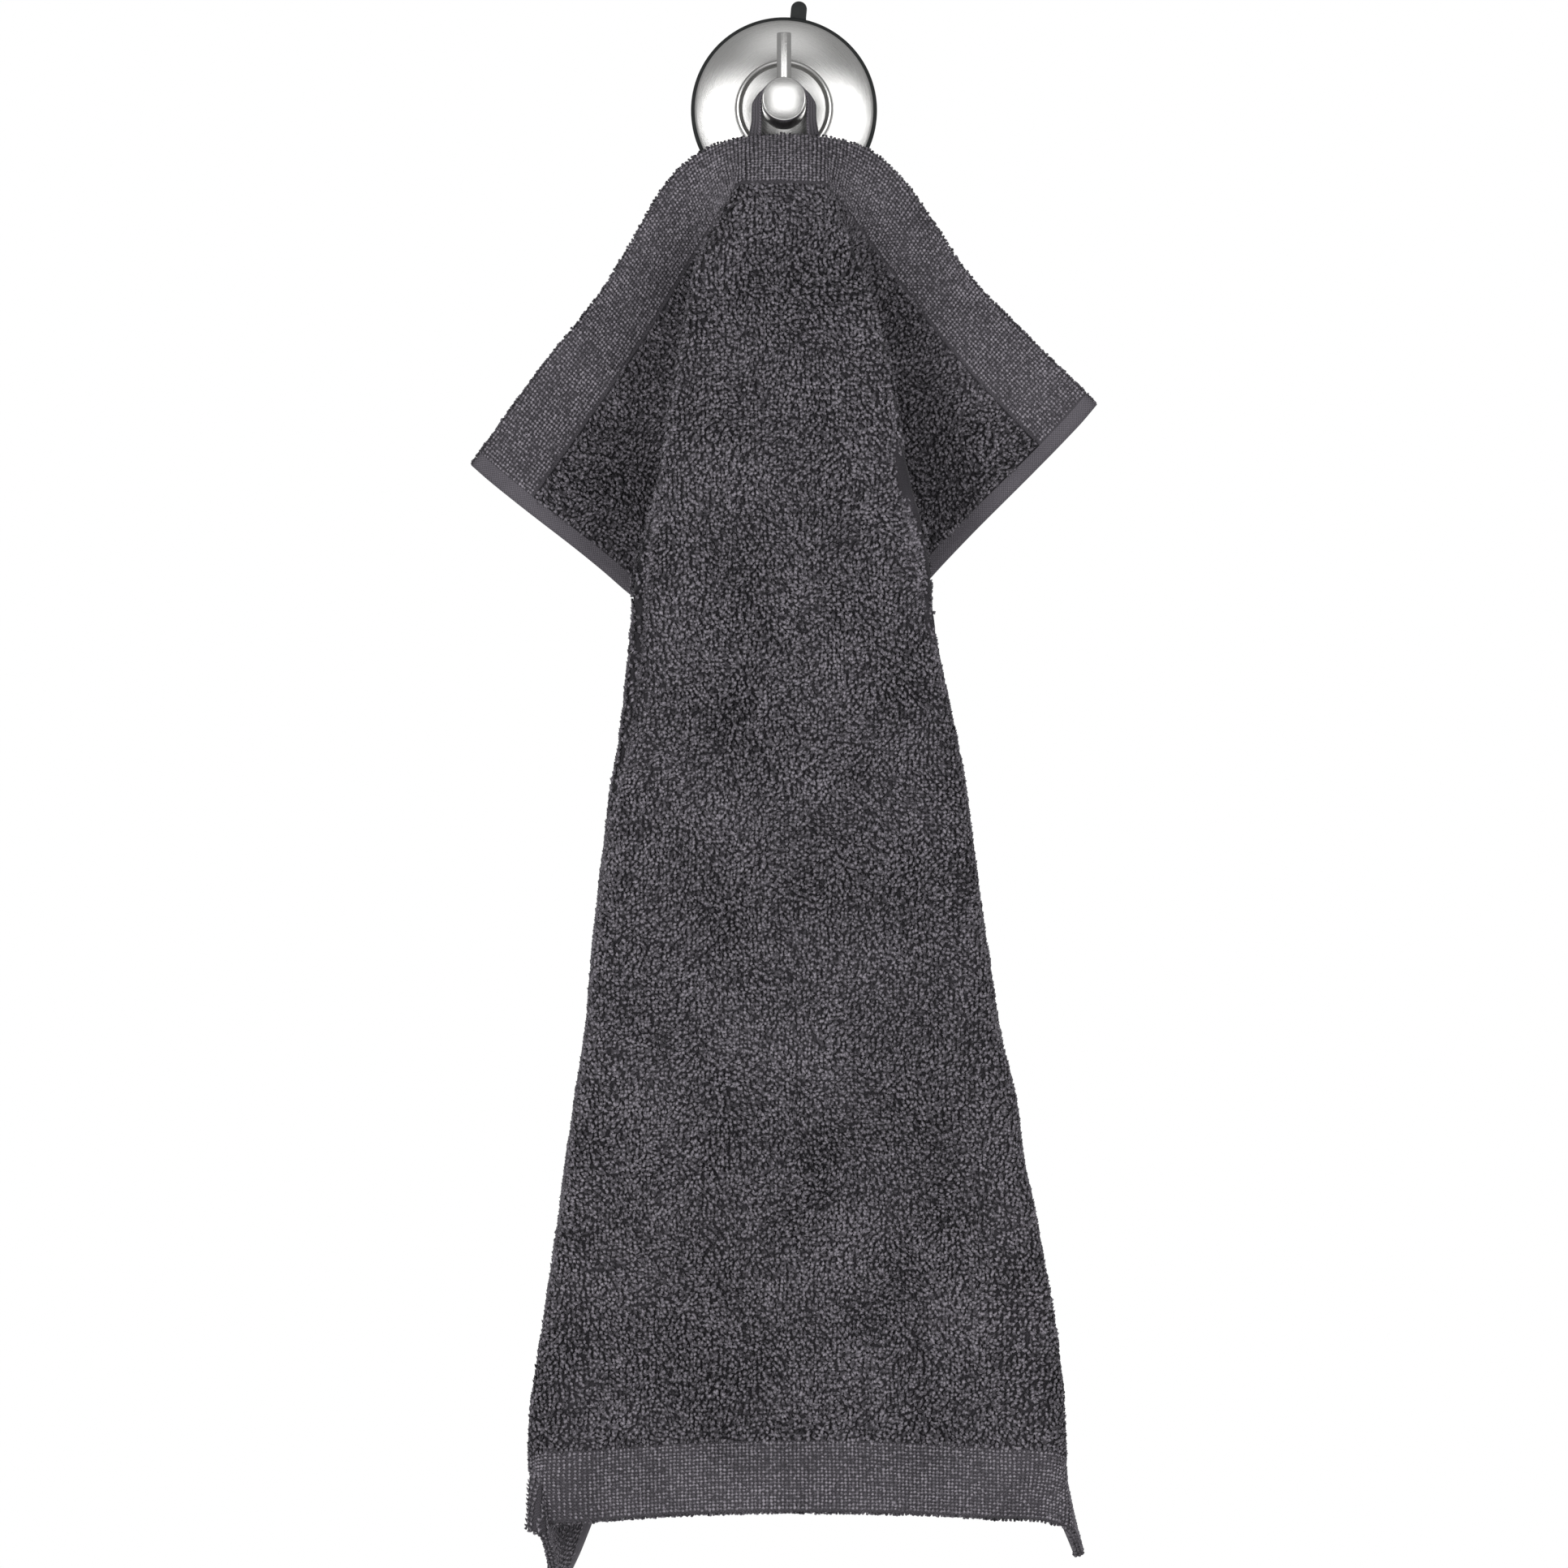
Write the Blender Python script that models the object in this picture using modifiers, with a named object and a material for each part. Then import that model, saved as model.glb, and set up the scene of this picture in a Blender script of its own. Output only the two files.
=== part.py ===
"""Guest towel of dark terry, hung by its loop from a steel suction hook. Metres, +Z up.

The wall is the plane y = 0, and everything stands in front of it, at negative y. The origin is the middle of the
suction cup's flat back. The towel is one woven sheet. Its folds are given by a few lines drawn on it, and the
threads between these lines are then evened out to their woven length.
"""
import math

import bmesh
import bpy
import numpy as np

# Towel, as woven
TOWEL_LENGTH = 0.600
LOOP_TO_LEFT = 0.209
LOOP_TO_RIGHT = 0.191
END_HEM = 0.030
SIDE_HEM = 0.007
BODY_THICKNESS = 0.0050
END_HEM_SHARE = 0.80
SIDE_HEM_SHARE = 0.62
WALL_GAP = 0.0045
MIDDLE_GAP = 0.005

# Hook
CUP_RADIUS = 0.0409
CUP_THICKNESS = 0.0046
TAB_WIDTH = 0.0070
TAB_THICKNESS = 0.0022
TAB_TOP = 0.0480
TAB_PLACE = 0.0062
TAB_LEAN = math.radians(5)
TAB_BURIED = 0.008
TAB_ROUNDING = 0.0034
DISC_RADIUS = 0.0394
DISC_BACK = 0.0049
DISC_FRONT = 0.0122
RING_RADIUS = 0.0203
PEG_RADIUS = 0.0095
PEG_TIP = 0.0450
PIN_RADIUS = 0.0031
PIN_TOP = 0.0292
PIN_FRONT = 0.0386
PIN_EDGE = 0.0003
SEAT_GAP = 0.0003
CUP_PROFILE = (  # in from the rim, in front of the wall
    (CUP_RADIUS, CUP_THICKNESS),
    (0.0006, CUP_THICKNESS),
    (0.0, CUP_THICKNESS - 0.0008),
    (0.0, 0.0012),
    (0.0010, 0.0),
    (CUP_RADIUS, 0.0),
)
DISC_PROFILE = (  # radius, in front of the wall
    (0.0, DISC_FRONT),
    (RING_RADIUS - 0.0022, DISC_FRONT),
    (RING_RADIUS - 0.0010, DISC_FRONT + 0.0010),
    (RING_RADIUS + 0.0004, DISC_FRONT + 0.0008),
    (RING_RADIUS + 0.0014, DISC_FRONT - 0.0010),
    (DISC_RADIUS - 0.0012, DISC_BACK + 0.0016),
    (DISC_RADIUS, DISC_BACK + 0.0008),
    (DISC_RADIUS, DISC_BACK),
    (0.0, DISC_BACK),
)
PEG_PROFILE = (  # radius, in front of the wall
    (0.0, PEG_TIP),
    (PEG_RADIUS - 0.0005, PEG_TIP),
    (PEG_RADIUS, PEG_TIP - 0.0005),
    (PEG_RADIUS, DISC_FRONT + SEAT_GAP),
    (0.0, DISC_FRONT + SEAT_GAP),
)

# Tape of the hanging loop
TAPE_WIDTH = 0.0100
TAPE_THICKNESS = 0.0010
TAPE_SEWN_AT = 0.0095
TAPE_ON_PEG = 0.0250
TAPE_SEWN = (  # thread, away from the back of the hem, turn (0 lies flat on the hem, 1 is edge on)
    (0.020, 0.0004, 0.0),
    (0.010, 0.0024, 0.15),
)
TAPE_RISING = (  # out, front, down, turn
    (0.0138, 0.0200, 0.0150, 0.55),
    (0.0118, 0.0235, 0.0060, 0.92),
)
TAPE_ARC_STEP = 15
TAPE_SMOOTHING = 3

# Lines on the towel. "thread" is the distance down a warp thread from the top edge, "along" the distance along
# the top edge from the loop, "weft" the distance across the cloth from the loop. Each place is given by how far
# it is out to its side, in front of the wall, and down from the origin.
TOP_LEFT = (  # along, out, front, down
    (0.000, 0.0000, 0.028, 0.0145),
    (0.027, 0.0270, 0.025, 0.0170),
    (0.052, 0.0480, 0.020, 0.0295),
    (0.080, 0.0625, 0.015, 0.0530),
    (0.108, 0.0767, 0.011, 0.0774),
    (0.153, 0.1050, 0.008, 0.1120),
    (0.209, 0.1370, 0.006, 0.1560),
)
TOP_RIGHT = (  # along, out, front, down
    (0.000, 0.0000, 0.028, 0.0145),
    (0.030, 0.0300, 0.025, 0.0170),
    (0.056, 0.0510, 0.020, 0.0310),
    (0.081, 0.0653, 0.015, 0.0513),
    (0.107, 0.0795, 0.011, 0.0730),
    (0.138, 0.1010, 0.009, 0.0947),
    (0.191, 0.1370, 0.006, 0.1293),
)
CENTRE = (  # thread, to the right, front
    (0.000, 0.000, 0.028),
    (0.030, 0.000, 0.048),
    (0.060, 0.000, 0.056),
    (0.094, 0.000, 0.060),
    (0.183, 0.000, 0.066),
    (0.320, 0.002, 0.073),
    (0.600, 0.005, 0.084),
)
RIDGE_LEFT = (  # thread, out, front, down
    (0.000, 0.0120, 0.0275, 0.0150),
    (0.030, 0.0190, 0.046, 0.0380),
    (0.060, 0.0345, 0.050, 0.0680),
    (0.094, 0.0420, 0.053, 0.1025),
    (0.140, 0.0505, 0.057, 0.1490),
    (0.183, 0.0580, 0.060, 0.1930),
    (0.240, 0.0645, 0.063, 0.2505),
    (0.320, 0.0755, 0.067, 0.3310),
    (0.440, 0.0910, 0.072, 0.4520),
    (0.570, 0.1070, 0.077, 0.5830),
    (0.600, 0.1080, 0.078, 0.6130),
)
RIDGE_RIGHT = (  # thread, out, front, down
    (0.000, 0.0120, 0.0275, 0.0150),
    (0.030, 0.0170, 0.046, 0.0380),
    (0.060, 0.0325, 0.050, 0.0680),
    (0.094, 0.0410, 0.053, 0.1020),
    (0.140, 0.0500, 0.057, 0.1480),
    (0.183, 0.0570, 0.060, 0.1910),
    (0.240, 0.0660, 0.063, 0.2490),
    (0.320, 0.0790, 0.066, 0.3300),
    (0.440, 0.0995, 0.069, 0.4510),
    (0.570, 0.1185, 0.072, 0.5820),
    (0.600, 0.1180, 0.072, 0.6120),
)
VALLEY_LEFT = (  # thread, weft, out, front, down
    (0.000, 0.035, 0.035, 0.024, 0.020),
    (0.030, 0.050, 0.040, 0.022, 0.055),
    (0.060, 0.080, 0.020, 0.015, 0.095),
    (0.094, 0.110, 0.008, 0.012, 0.140),
    (0.183, 0.175, 0.006, 0.014, 0.250),
    (0.320, 0.190, 0.020, 0.014, 0.400),
    (0.600, 0.200, 0.090, 0.010, 0.634),
)
VALLEY_RIGHT = (  # thread, weft, out, front, down
    (0.000, 0.035, 0.035, 0.024, 0.020),
    (0.030, 0.050, 0.040, 0.022, 0.055),
    (0.060, 0.076, 0.020, 0.015, 0.092),
    (0.094, 0.104, 0.008, 0.012, 0.134),
    (0.183, 0.160, 0.006, 0.014, 0.235),
    (0.320, 0.172, 0.030, 0.014, 0.385),
    (0.600, 0.183, 0.124, 0.010, 0.630),
)
SELVEDGE_LEFT = (  # thread, out, front, down
    (0.000, 0.137, 0.006, 0.156),
    (0.094, 0.064, 0.007, 0.215),
    (0.183, 0.008, 0.016, 0.280),
    (0.240, 0.005, 0.020, 0.335),
    (0.320, 0.018, 0.018, 0.412),
    (0.440, 0.050, 0.012, 0.515),
    (0.600, 0.094, 0.008, 0.638),
)
SELVEDGE_RIGHT = (  # thread, out, front, down
    (0.000, 0.137, 0.006, 0.1293),
    (0.094, 0.0715, 0.007, 0.197),
    (0.183, 0.008, 0.016, 0.262),
    (0.240, 0.006, 0.020, 0.318),
    (0.320, 0.025, 0.018, 0.392),
    (0.440, 0.070, 0.012, 0.500),
    (0.600, 0.127, 0.008, 0.632),
)
SIDES = (
    (-1, LOOP_TO_LEFT, TOP_LEFT, RIDGE_LEFT, VALLEY_LEFT, SELVEDGE_LEFT),
    (1, LOOP_TO_RIGHT, TOP_RIGHT, RIDGE_RIGHT, VALLEY_RIGHT, SELVEDGE_RIGHT),
)
# Below the flaps the cloth behind the ridges stays within them, apart from a foot that flares at the bottom
FLAP_DOWN = 0.212
FOOT_DOWN, FOOT_HEIGHT = 0.590, 0.040
FOOT_FLARE = {-1: -0.007, 1: 0.009}

# Grid of the towel: columns from the middle to one selvedge, and rows from hem to hem
PANEL_COLUMNS = 4
BEND_STEPS = (0.005, 0.012)
BACK_COLUMNS = 11
HEM_ROWS = 3
BODY_ROWS = 48
TOP_FADE = 0.070
FLAP_LENGTH = 0.100
FLAP_WEFT = 0.090
# A point is held to its drawn place from 0, free, to 1
HOLD_PANEL = 0.25
HOLD_TOP = 0.5
HOLD_FLAP = 0.01
HOLD_FLAP_EDGE = 0.15
HOLD_BACK_EDGE = 0.02
HOLD_CORNER = 0.3
# Rounds of evening out, each with its stiffness against bends over one, two and three cells
ROUNDS = ((400, (0.10, 0.10, 0.05)), (300, (0.10, 0.05, 0.0)))
DIAGONAL_STIFFNESS = 0.25
OVERSHOOT = 1.6
PANEL_SLACK = 1.01
# The body hangs behind the ridges from this thread down, and the hem's top bends freely
HIDDEN_FROM = 0.045
SOFT_TOP = 0.020
SOFT_COLUMNS = 3
LEAST_EASE = 0.15


def clear_scene():
    for obj in list(bpy.data.objects):
        bpy.data.objects.remove(obj)


def make_collection(name):
    collection = bpy.data.collections.new(name)
    bpy.context.scene.collection.children.link(collection)
    return collection


def make_material(name, colour, roughness, metallic=0.0):
    material = bpy.data.materials.new(name)
    material.use_nodes = True
    shader = material.node_tree.nodes["Principled BSDF"]
    shader.inputs["Base Color"].default_value = (*colour, 1)
    shader.inputs["Roughness"].default_value = roughness
    shader.inputs["Metallic"].default_value = metallic
    return material


def add_object(name, mesh, collection, material):
    obj = bpy.data.objects.new(name, mesh)
    collection.objects.link(obj)
    mesh.materials.append(material)
    return obj


def smooth_through(keys, values, at):
    """A monotone cubic through the rows of a table, so that a line bends without swinging past its points."""
    widths = np.diff(keys)
    slopes = np.diff(values) / widths
    tangents = np.concatenate([slopes[:1], np.zeros(len(keys) - 2), slopes[-1:]])
    for i in range(1, len(keys) - 1):
        if slopes[i - 1] * slopes[i] > 0:
            before = 2 * widths[i] + widths[i - 1]
            after = widths[i] + 2 * widths[i - 1]
            tangents[i] = (before + after) / (before / slopes[i - 1] + after / slopes[i])
    k = np.clip(np.searchsorted(keys, at) - 1, 0, len(keys) - 2)
    u = (at - keys[k]) / widths[k]
    return (
        values[k] * (1 + 2 * u) * (1 - u) ** 2
        + widths[k] * tangents[k] * u * (1 - u) ** 2
        + values[k + 1] * u * u * (3 - 2 * u)
        + widths[k] * tangents[k + 1] * u * u * (u - 1)
    )


def read_table(rows, at):
    rows = np.array(rows)
    return np.stack([smooth_through(rows[:, 0], rows[:, c], at) for c in range(1, rows.shape[1])], -1)


def placed(out_front_down, side):
    """World places from the columns out, front and down."""
    return out_front_down * np.array([side, -1.0, -1.0])


def thread_rows():
    body = np.linspace(END_HEM, TOWEL_LENGTH - END_HEM, BODY_ROWS + 1)
    top = np.linspace(0, END_HEM, HEM_ROWS + 1)[:-1]
    bottom = np.linspace(TOWEL_LENGTH - END_HEM, TOWEL_LENGTH, HEM_ROWS + 1)[1:]
    return np.concatenate([top, body, bottom])


def centre_line(threads):
    """The middle thread: its drop follows from its length and its way forward."""
    right_front = read_table(CENTRE, threads)
    forward = np.gradient(right_front[:, 1], threads)
    fall = np.sqrt(1 - forward**2)
    steps = (fall[1:] + fall[:-1]) / 2 * np.diff(threads)
    down = TOP_LEFT[0][3] + np.concatenate([[0], np.cumsum(steps)])
    return np.stack([right_front[:, 0], -right_front[:, 1], -down], -1)


def side_columns(ridge_weft, half_width):
    panel = ridge_weft * np.arange(1, PANEL_COLUMNS + 1) / PANEL_COLUMNS
    bend = ridge_weft + np.array(BEND_STEPS)
    back = np.linspace(bend[-1], half_width, BACK_COLUMNS + 1)[1:]
    return np.concatenate([panel, bend, back])


def draw_half(threads, centre, side, half_width, top, ridge, valley, selvedge):
    """One side of the towel, straight between its fold lines: places, weft distances, and how firm each is."""
    ridge_line = placed(read_table(ridge, threads), side)
    valley_rows = read_table(valley, threads)
    valley_line = placed(valley_rows[:, 1:], side)
    selvedge_line = placed(read_table(selvedge, threads), side)
    ridge_weft = PANEL_SLACK * np.linalg.norm(ridge_line - centre, axis=1)
    places, wefts = [], []
    for j in range(len(threads)):
        weft = side_columns(ridge_weft[j], half_width)
        keys = [0, ridge_weft[j], max(valley_rows[j, 0], ridge_weft[j] + BEND_STEPS[-1]), half_width]
        corners = np.array([centre[j], ridge_line[j], valley_line[j], selvedge_line[j]])
        row = np.stack([np.interp(weft, keys, corners[:, k]) for k in range(3)], -1)
        bulge = (weft[:PANEL_COLUMNS, None] / ridge_weft[j]) ** 2
        row[:PANEL_COLUMNS, 1:] = centre[j, 1:] + (ridge_line[j] - centre[j])[1:] * bulge
        places.append(row)
        wefts.append(weft)
    places, wefts = np.array(places), np.array(wefts)
    lift = placed(read_table(top, wefts[0]), side) - places[0]
    fade = np.clip(1 - threads / TOP_FADE, 0, 1) ** 2
    places += fade[:, None, None] * lift[None]
    return places, wefts


def holding(threads, wefts):
    """How strongly each point is held to its drawn place."""
    hold = np.zeros(wefts.shape)
    hold[:, :PANEL_COLUMNS] = HOLD_PANEL
    flap = (threads[:, None] < FLAP_LENGTH) & (wefts > FLAP_WEFT)
    hold = np.maximum(hold, HOLD_FLAP * flap)
    hold[:, -1] = np.where(threads < FLAP_LENGTH, HOLD_FLAP_EDGE, HOLD_BACK_EDGE)
    hold[-1, -1] = HOLD_CORNER
    hold[0] = HOLD_TOP
    return hold


def thread_links(weft, thread):
    """Pairs of neighbours in the weave, with their woven distance and stiffness."""
    links = []
    every, but_last, but_first = slice(None), slice(None, -1), slice(1, None)
    pairs = (
        ((every, but_last), (every, but_first), 1.0),
        ((but_last, every), (but_first, every), 1.0),
        ((but_last, but_last), (but_first, but_first), DIAGONAL_STIFFNESS),
        ((but_first, but_last), (but_last, but_first), DIAGONAL_STIFFNESS),
    )
    for first, second, stiffness in pairs:
        woven = np.hypot(weft[second] - weft[first], thread[second] - thread[first])
        links.append((first, second, woven[..., None], stiffness))
    return links


def outline_at(down, sign):
    """How far out the cloth behind the ridges may reach at a distance down: no limit beside the flaps."""
    limit = np.ones(down.shape)
    for side, _, _, ridge, _, _ in SIDES:
        rows = np.array(ridge)
        reach = np.interp(down, rows[:, 3], rows[:, 1])
        reach += FOOT_FLARE[side] * np.clip((down - FOOT_DOWN) / FOOT_HEIGHT, 0, 1)
        limit = np.where((sign == side) & (down > FLAP_DOWN), reach, limit)
    return limit


def even_out(places, weft, thread, hold, bend_ease, hidden):
    """Moves the points until each thread has its woven length, its bends are round and its layers are clear."""
    drawn = places.copy()
    places = places.copy()
    links = thread_links(weft, thread)
    rows, columns = weft.shape
    sign = np.sign(weft)
    for passes, bends in ROUNDS:
        for _ in range(passes):
            move = np.zeros_like(places)
            count = np.zeros((rows, columns, 1))
            for first, second, woven, stiffness in links:
                across = places[second] - places[first]
                length = np.linalg.norm(across, axis=-1, keepdims=True)
                pull = stiffness * 0.5 * (length - woven) / np.maximum(length, 1e-7) * across
                move[first] += pull
                move[second] -= pull
                count[first] += stiffness
                count[second] += stiffness
            places += OVERSHOOT * move / count
            places += straighten(places, bends, bend_ease)
            places += hold[..., None] * (drawn - places)
            places[..., 1] = np.minimum(places[..., 1], -WALL_GAP)
            sideways = np.clip(sign * places[..., 0], MIDDLE_GAP, outline_at(-places[..., 2], sign))
            places[..., 0] = np.where(hidden, sign * sideways, places[..., 0])
    return places


def straighten(places, bends, ease):
    """One small step against bends, over one, two and three cells."""
    turn = np.zeros_like(places)
    for cells, stiffness in enumerate(bends, 1):
        inner, before, after = slice(cells, -cells), slice(None, -2 * cells), slice(2 * cells, None)
        middle = (places[:, before] + places[:, after]) / 2 - places[:, inner]
        step = stiffness * ease[:, inner, None] * middle
        turn[:, inner] += step
        turn[:, before] -= step / 2
        turn[:, after] -= step / 2
        middle = (places[before] + places[after]) / 2 - places[inner]
        step = stiffness * ease[inner, :, None] * middle
        turn[inner] += step
        turn[before] -= step / 2
        turn[after] -= step / 2
    return turn


def hang_towel():
    """Places, weft and thread of every grid point of the towel's middle surface."""
    threads = thread_rows()
    centre = centre_line(threads)
    halves = []
    for side, half_width, top, ridge, valley, selvedge in SIDES:
        places, wefts = draw_half(threads, centre, side, half_width, top, ridge, valley, selvedge)
        halves.append((places, wefts, holding(threads, wefts)))
    left, right = halves
    places = np.concatenate([left[0][:, ::-1], centre[:, None], right[0]], 1)
    weft = np.concatenate([-left[1][:, ::-1], np.zeros((len(threads), 1)), right[1]], 1)
    hold = np.concatenate([left[2][:, ::-1], np.full((len(threads), 1), HOLD_PANEL), right[2]], 1)
    thread = np.repeat(threads[:, None], weft.shape[1], 1)
    column = np.abs(np.arange(weft.shape[1]) - weft.shape[1] // 2)
    hidden = (column > PANEL_COLUMNS)[None] & (thread > HIDDEN_FROM)
    near_ridge = np.abs(column - PANEL_COLUMNS)[None]
    bend_ease = np.where(thread < SOFT_TOP, 1.0, np.clip(near_ridge / SOFT_COLUMNS, LEAST_EASE, 1.0))
    return even_out(places, weft, thread, hold, bend_ease, hidden), weft, thread


def towel(collection, material, places, weft, thread):
    rows, columns = weft.shape
    mesh = bpy.data.meshes.new("towel")
    bm = bmesh.new()
    bmesh.ops.create_grid(bm, x_segments=columns - 1, y_segments=rows - 1, size=1)
    bm.verts.ensure_lookup_table()
    for vertex, place in zip(bm.verts, places.reshape(-1, 3)):
        vertex.co = place
    bmesh.ops.reverse_faces(bm, faces=bm.faces)
    bm.to_mesh(mesh)
    bm.free()
    obj = add_object("towel", mesh, collection, material)
    share = np.ones(weft.shape)
    share[(thread < END_HEM) | (thread > TOWEL_LENGTH - END_HEM)] = END_HEM_SHARE
    share[:, 0] = share[:, -1] = SIDE_HEM_SHARE
    group = obj.vertex_groups.new(name="thickness")
    for index, value in enumerate(share.reshape(-1)):
        group.add([index], float(value), "REPLACE")
    solidify = obj.modifiers.new("cloth thickness", "SOLIDIFY")
    solidify.thickness = BODY_THICKNESS
    solidify.offset = 0
    solidify.vertex_group = group.name
    return obj


def towel_point(places, weft, thread, at_weft, at_thread):
    """The place on the towel's middle surface at a weft and thread distance, and the direction to its back."""
    row = int(np.argmin(np.abs(thread[:, 0] - at_thread)))
    across = np.array([np.interp(at_weft, weft[row], places[row, :, k]) for k in range(3)])
    side_step = np.array([np.interp(at_weft + 0.004, weft[row], places[row, :, k]) for k in range(3)]) - across
    down_step = np.array([np.interp(at_weft, weft[row + 1], places[row + 1, :, k]) for k in range(3)]) - across
    weft_way = side_step / np.linalg.norm(side_step)
    back = np.cross(weft_way, down_step)
    back /= np.linalg.norm(back)
    return across, weft_way, back if back[1] > 0 else -back


def tape_path(places, weft, thread):
    """Middle line and width direction of the loop: sewn flat behind the hem, turned edge on over the peg."""
    stations = []
    behind_hem = BODY_THICKNESS * END_HEM_SHARE / 2 + SEAT_GAP + TAPE_THICKNESS / 2
    for at_thread, away, turn in TAPE_SEWN:
        point, weft_way, back = towel_point(places, weft, thread, TAPE_SEWN_AT, at_thread)
        stations.append((point + back * (behind_hem + away), turn, weft_way))
    right = np.array([1.0, 0, 0])
    for out, front, down, turn in TAPE_RISING:
        stations.append((placed(np.array([out, front, down]), 1), turn, right))
    radius = PEG_RADIUS + SEAT_GAP + TAPE_THICKNESS / 2
    for degrees in range(0, 91, TAPE_ARC_STEP):
        angle = math.radians(degrees)
        place = np.array([radius * math.cos(angle), -TAPE_ON_PEG, radius * math.sin(angle)])
        stations.append((place, 1.0, right))
    line, width = [], []
    for place, turn, flat_way in stations:
        angle = turn * math.pi / 2
        way = math.cos(angle) * flat_way + math.sin(angle) * np.array([0, 1.0, 0])
        line.append(place)
        width.append(way / np.linalg.norm(way))
    mirror = np.array([-1.0, 1.0, 1.0])
    line += [place * mirror for place in line[-2::-1]]
    width += [way * mirror * (1 if way[1] * mirror[1] > 0 else -1) for way in width[-2::-1]]
    return np.array(line), np.array(width)


def hanging_loop(collection, material, places, weft, thread):
    line, width = tape_path(places, weft, thread)
    steps = np.linspace(0, len(line) - 1, TAPE_SMOOTHING * (len(line) - 1) + 1)
    keys = np.arange(len(line))
    line = np.stack([smooth_through(keys, line[:, k], steps) for k in range(3)], -1)
    width = np.stack([np.interp(steps, keys, width[:, k]) for k in range(3)], -1)
    width /= np.linalg.norm(width, axis=1, keepdims=True)
    mesh = bpy.data.meshes.new("hanging_loop")
    bm = bmesh.new()
    bmesh.ops.create_grid(bm, x_segments=2, y_segments=len(line) - 1, size=1)
    bm.verts.ensure_lookup_table()
    offsets = (-0.5, 0.0, 0.5)
    for row, (place, way) in enumerate(zip(line, width)):
        for column, offset in enumerate(offsets):
            bm.verts[3 * row + column].co = place + offset * TAPE_WIDTH * way
    bm.to_mesh(mesh)
    bm.free()
    obj = add_object("hanging_loop", mesh, collection, material)
    solidify = obj.modifiers.new("tape thickness", "SOLIDIFY")
    solidify.thickness = TAPE_THICKNESS
    solidify.offset = 0
    return obj


def turned(name, profile, collection, material, steps):
    """A turned piece about the hook's axis. The profile's columns are radius and distance in front of the wall."""
    mesh = bpy.data.meshes.new(name)
    points = [(radius, 0, front) for radius, front in profile]
    mesh.from_pydata(points, [(i, i + 1) for i in range(len(points) - 1)], [])
    obj = add_object(name, mesh, collection, material)
    obj.rotation_euler = (math.pi / 2, 0, 0)
    screw = obj.modifiers.new("turning", "SCREW")
    screw.steps = screw.render_steps = steps
    screw.use_merge_vertices = True
    screw.merge_threshold = 0.00001
    return obj


def suction_cup(collection, cutters, material):
    profile = [(CUP_RADIUS - inwards, front) for inwards, front in CUP_PROFILE]
    cup = turned("suction_cup", profile, collection, material, 64)
    mesh = bpy.data.meshes.new("tab")
    bm = bmesh.new()
    bmesh.ops.create_cube(bm, size=1)
    length = TAB_TOP - CUP_RADIUS + TAB_BURIED
    bmesh.ops.scale(bm, vec=(TAB_WIDTH, TAB_THICKNESS, length), verts=bm.verts)
    deep = [e for e in bm.edges if abs(e.verts[0].co.y - e.verts[1].co.y) > TAB_THICKNESS / 2]
    upper = [e for e in deep if e.verts[0].co.z > 0]
    bmesh.ops.bevel(bm, geom=upper, offset=TAB_ROUNDING, segments=5, profile=0.5, affect="EDGES")
    bm.to_mesh(mesh)
    bm.free()
    tab = bpy.data.objects.new("tab", mesh)
    cutters.objects.link(tab)
    tab.location = (TAB_PLACE, -CUP_THICKNESS / 2, TAB_TOP - length / 2)
    tab.rotation_euler = (0, TAB_LEAN, 0)
    tab.hide_render = True
    tab.display_type = "WIRE"
    join = cup.modifiers.new("pull tab", "BOOLEAN")
    join.operation = "UNION"
    join.object = tab
    return cup


def peg_pin(collection, material):
    base = PEG_RADIUS + SEAT_GAP
    mesh = bpy.data.meshes.new("peg_pin")
    bm = bmesh.new()
    bmesh.ops.create_cone(
        bm, cap_ends=True, segments=32, radius1=PIN_RADIUS, radius2=PIN_RADIUS, depth=PIN_TOP - base
    )
    bm.to_mesh(mesh)
    bm.free()
    obj = add_object("peg_pin", mesh, collection, material)
    obj.location = (0, -PIN_FRONT, (PIN_TOP + base) / 2)
    bevel = obj.modifiers.new("edges", "BEVEL")
    bevel.width = PIN_EDGE
    bevel.segments = 1
    return obj


def main():
    clear_scene()
    collection = make_collection("guest_towel_on_suction_hook")
    cutters = make_collection("cutters")
    terry = make_material("terry", (0.040, 0.038, 0.042), 0.95)
    tape = make_material("tape", (0.030, 0.029, 0.031), 0.85)
    steel = make_material("brushed steel", (0.62, 0.61, 0.59), 0.32, 1.0)
    rubber = make_material("rubber", (0.015, 0.015, 0.016), 0.7)
    places, weft, thread = hang_towel()
    towel(collection, terry, places, weft, thread)
    hanging_loop(collection, tape, places, weft, thread)
    suction_cup(collection, cutters, rubber)
    disc = turned("cover_disc", DISC_PROFILE, collection, steel, 72)
    peg = turned("peg", PEG_PROFILE, collection, steel, 48)
    for piece in (disc, peg, peg_pin(collection, steel)):
        piece.data.shade_smooth()
        piece.data.set_sharp_from_angle(angle=math.radians(30))


main()
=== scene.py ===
# %% [markdown]
# # A guest towel on a suction hook
#
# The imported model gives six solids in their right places: a plain sheet for the towel, the tape that it hangs by,
# and the four pieces of the hook. This notebook keeps their sizes and turns them into what the eye expects: a dark
# terry towel made of thousands of small loops, and a brushed steel hook on its rubber cup.
#
# Everything is in metres, with +Z up. The wall would be the plane y = 0, and the viewer stands at negative y.

# %% Load the fixed frame
import math

import bmesh
import bpy
import numpy as np
from mathutils import Matrix, Vector


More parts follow.
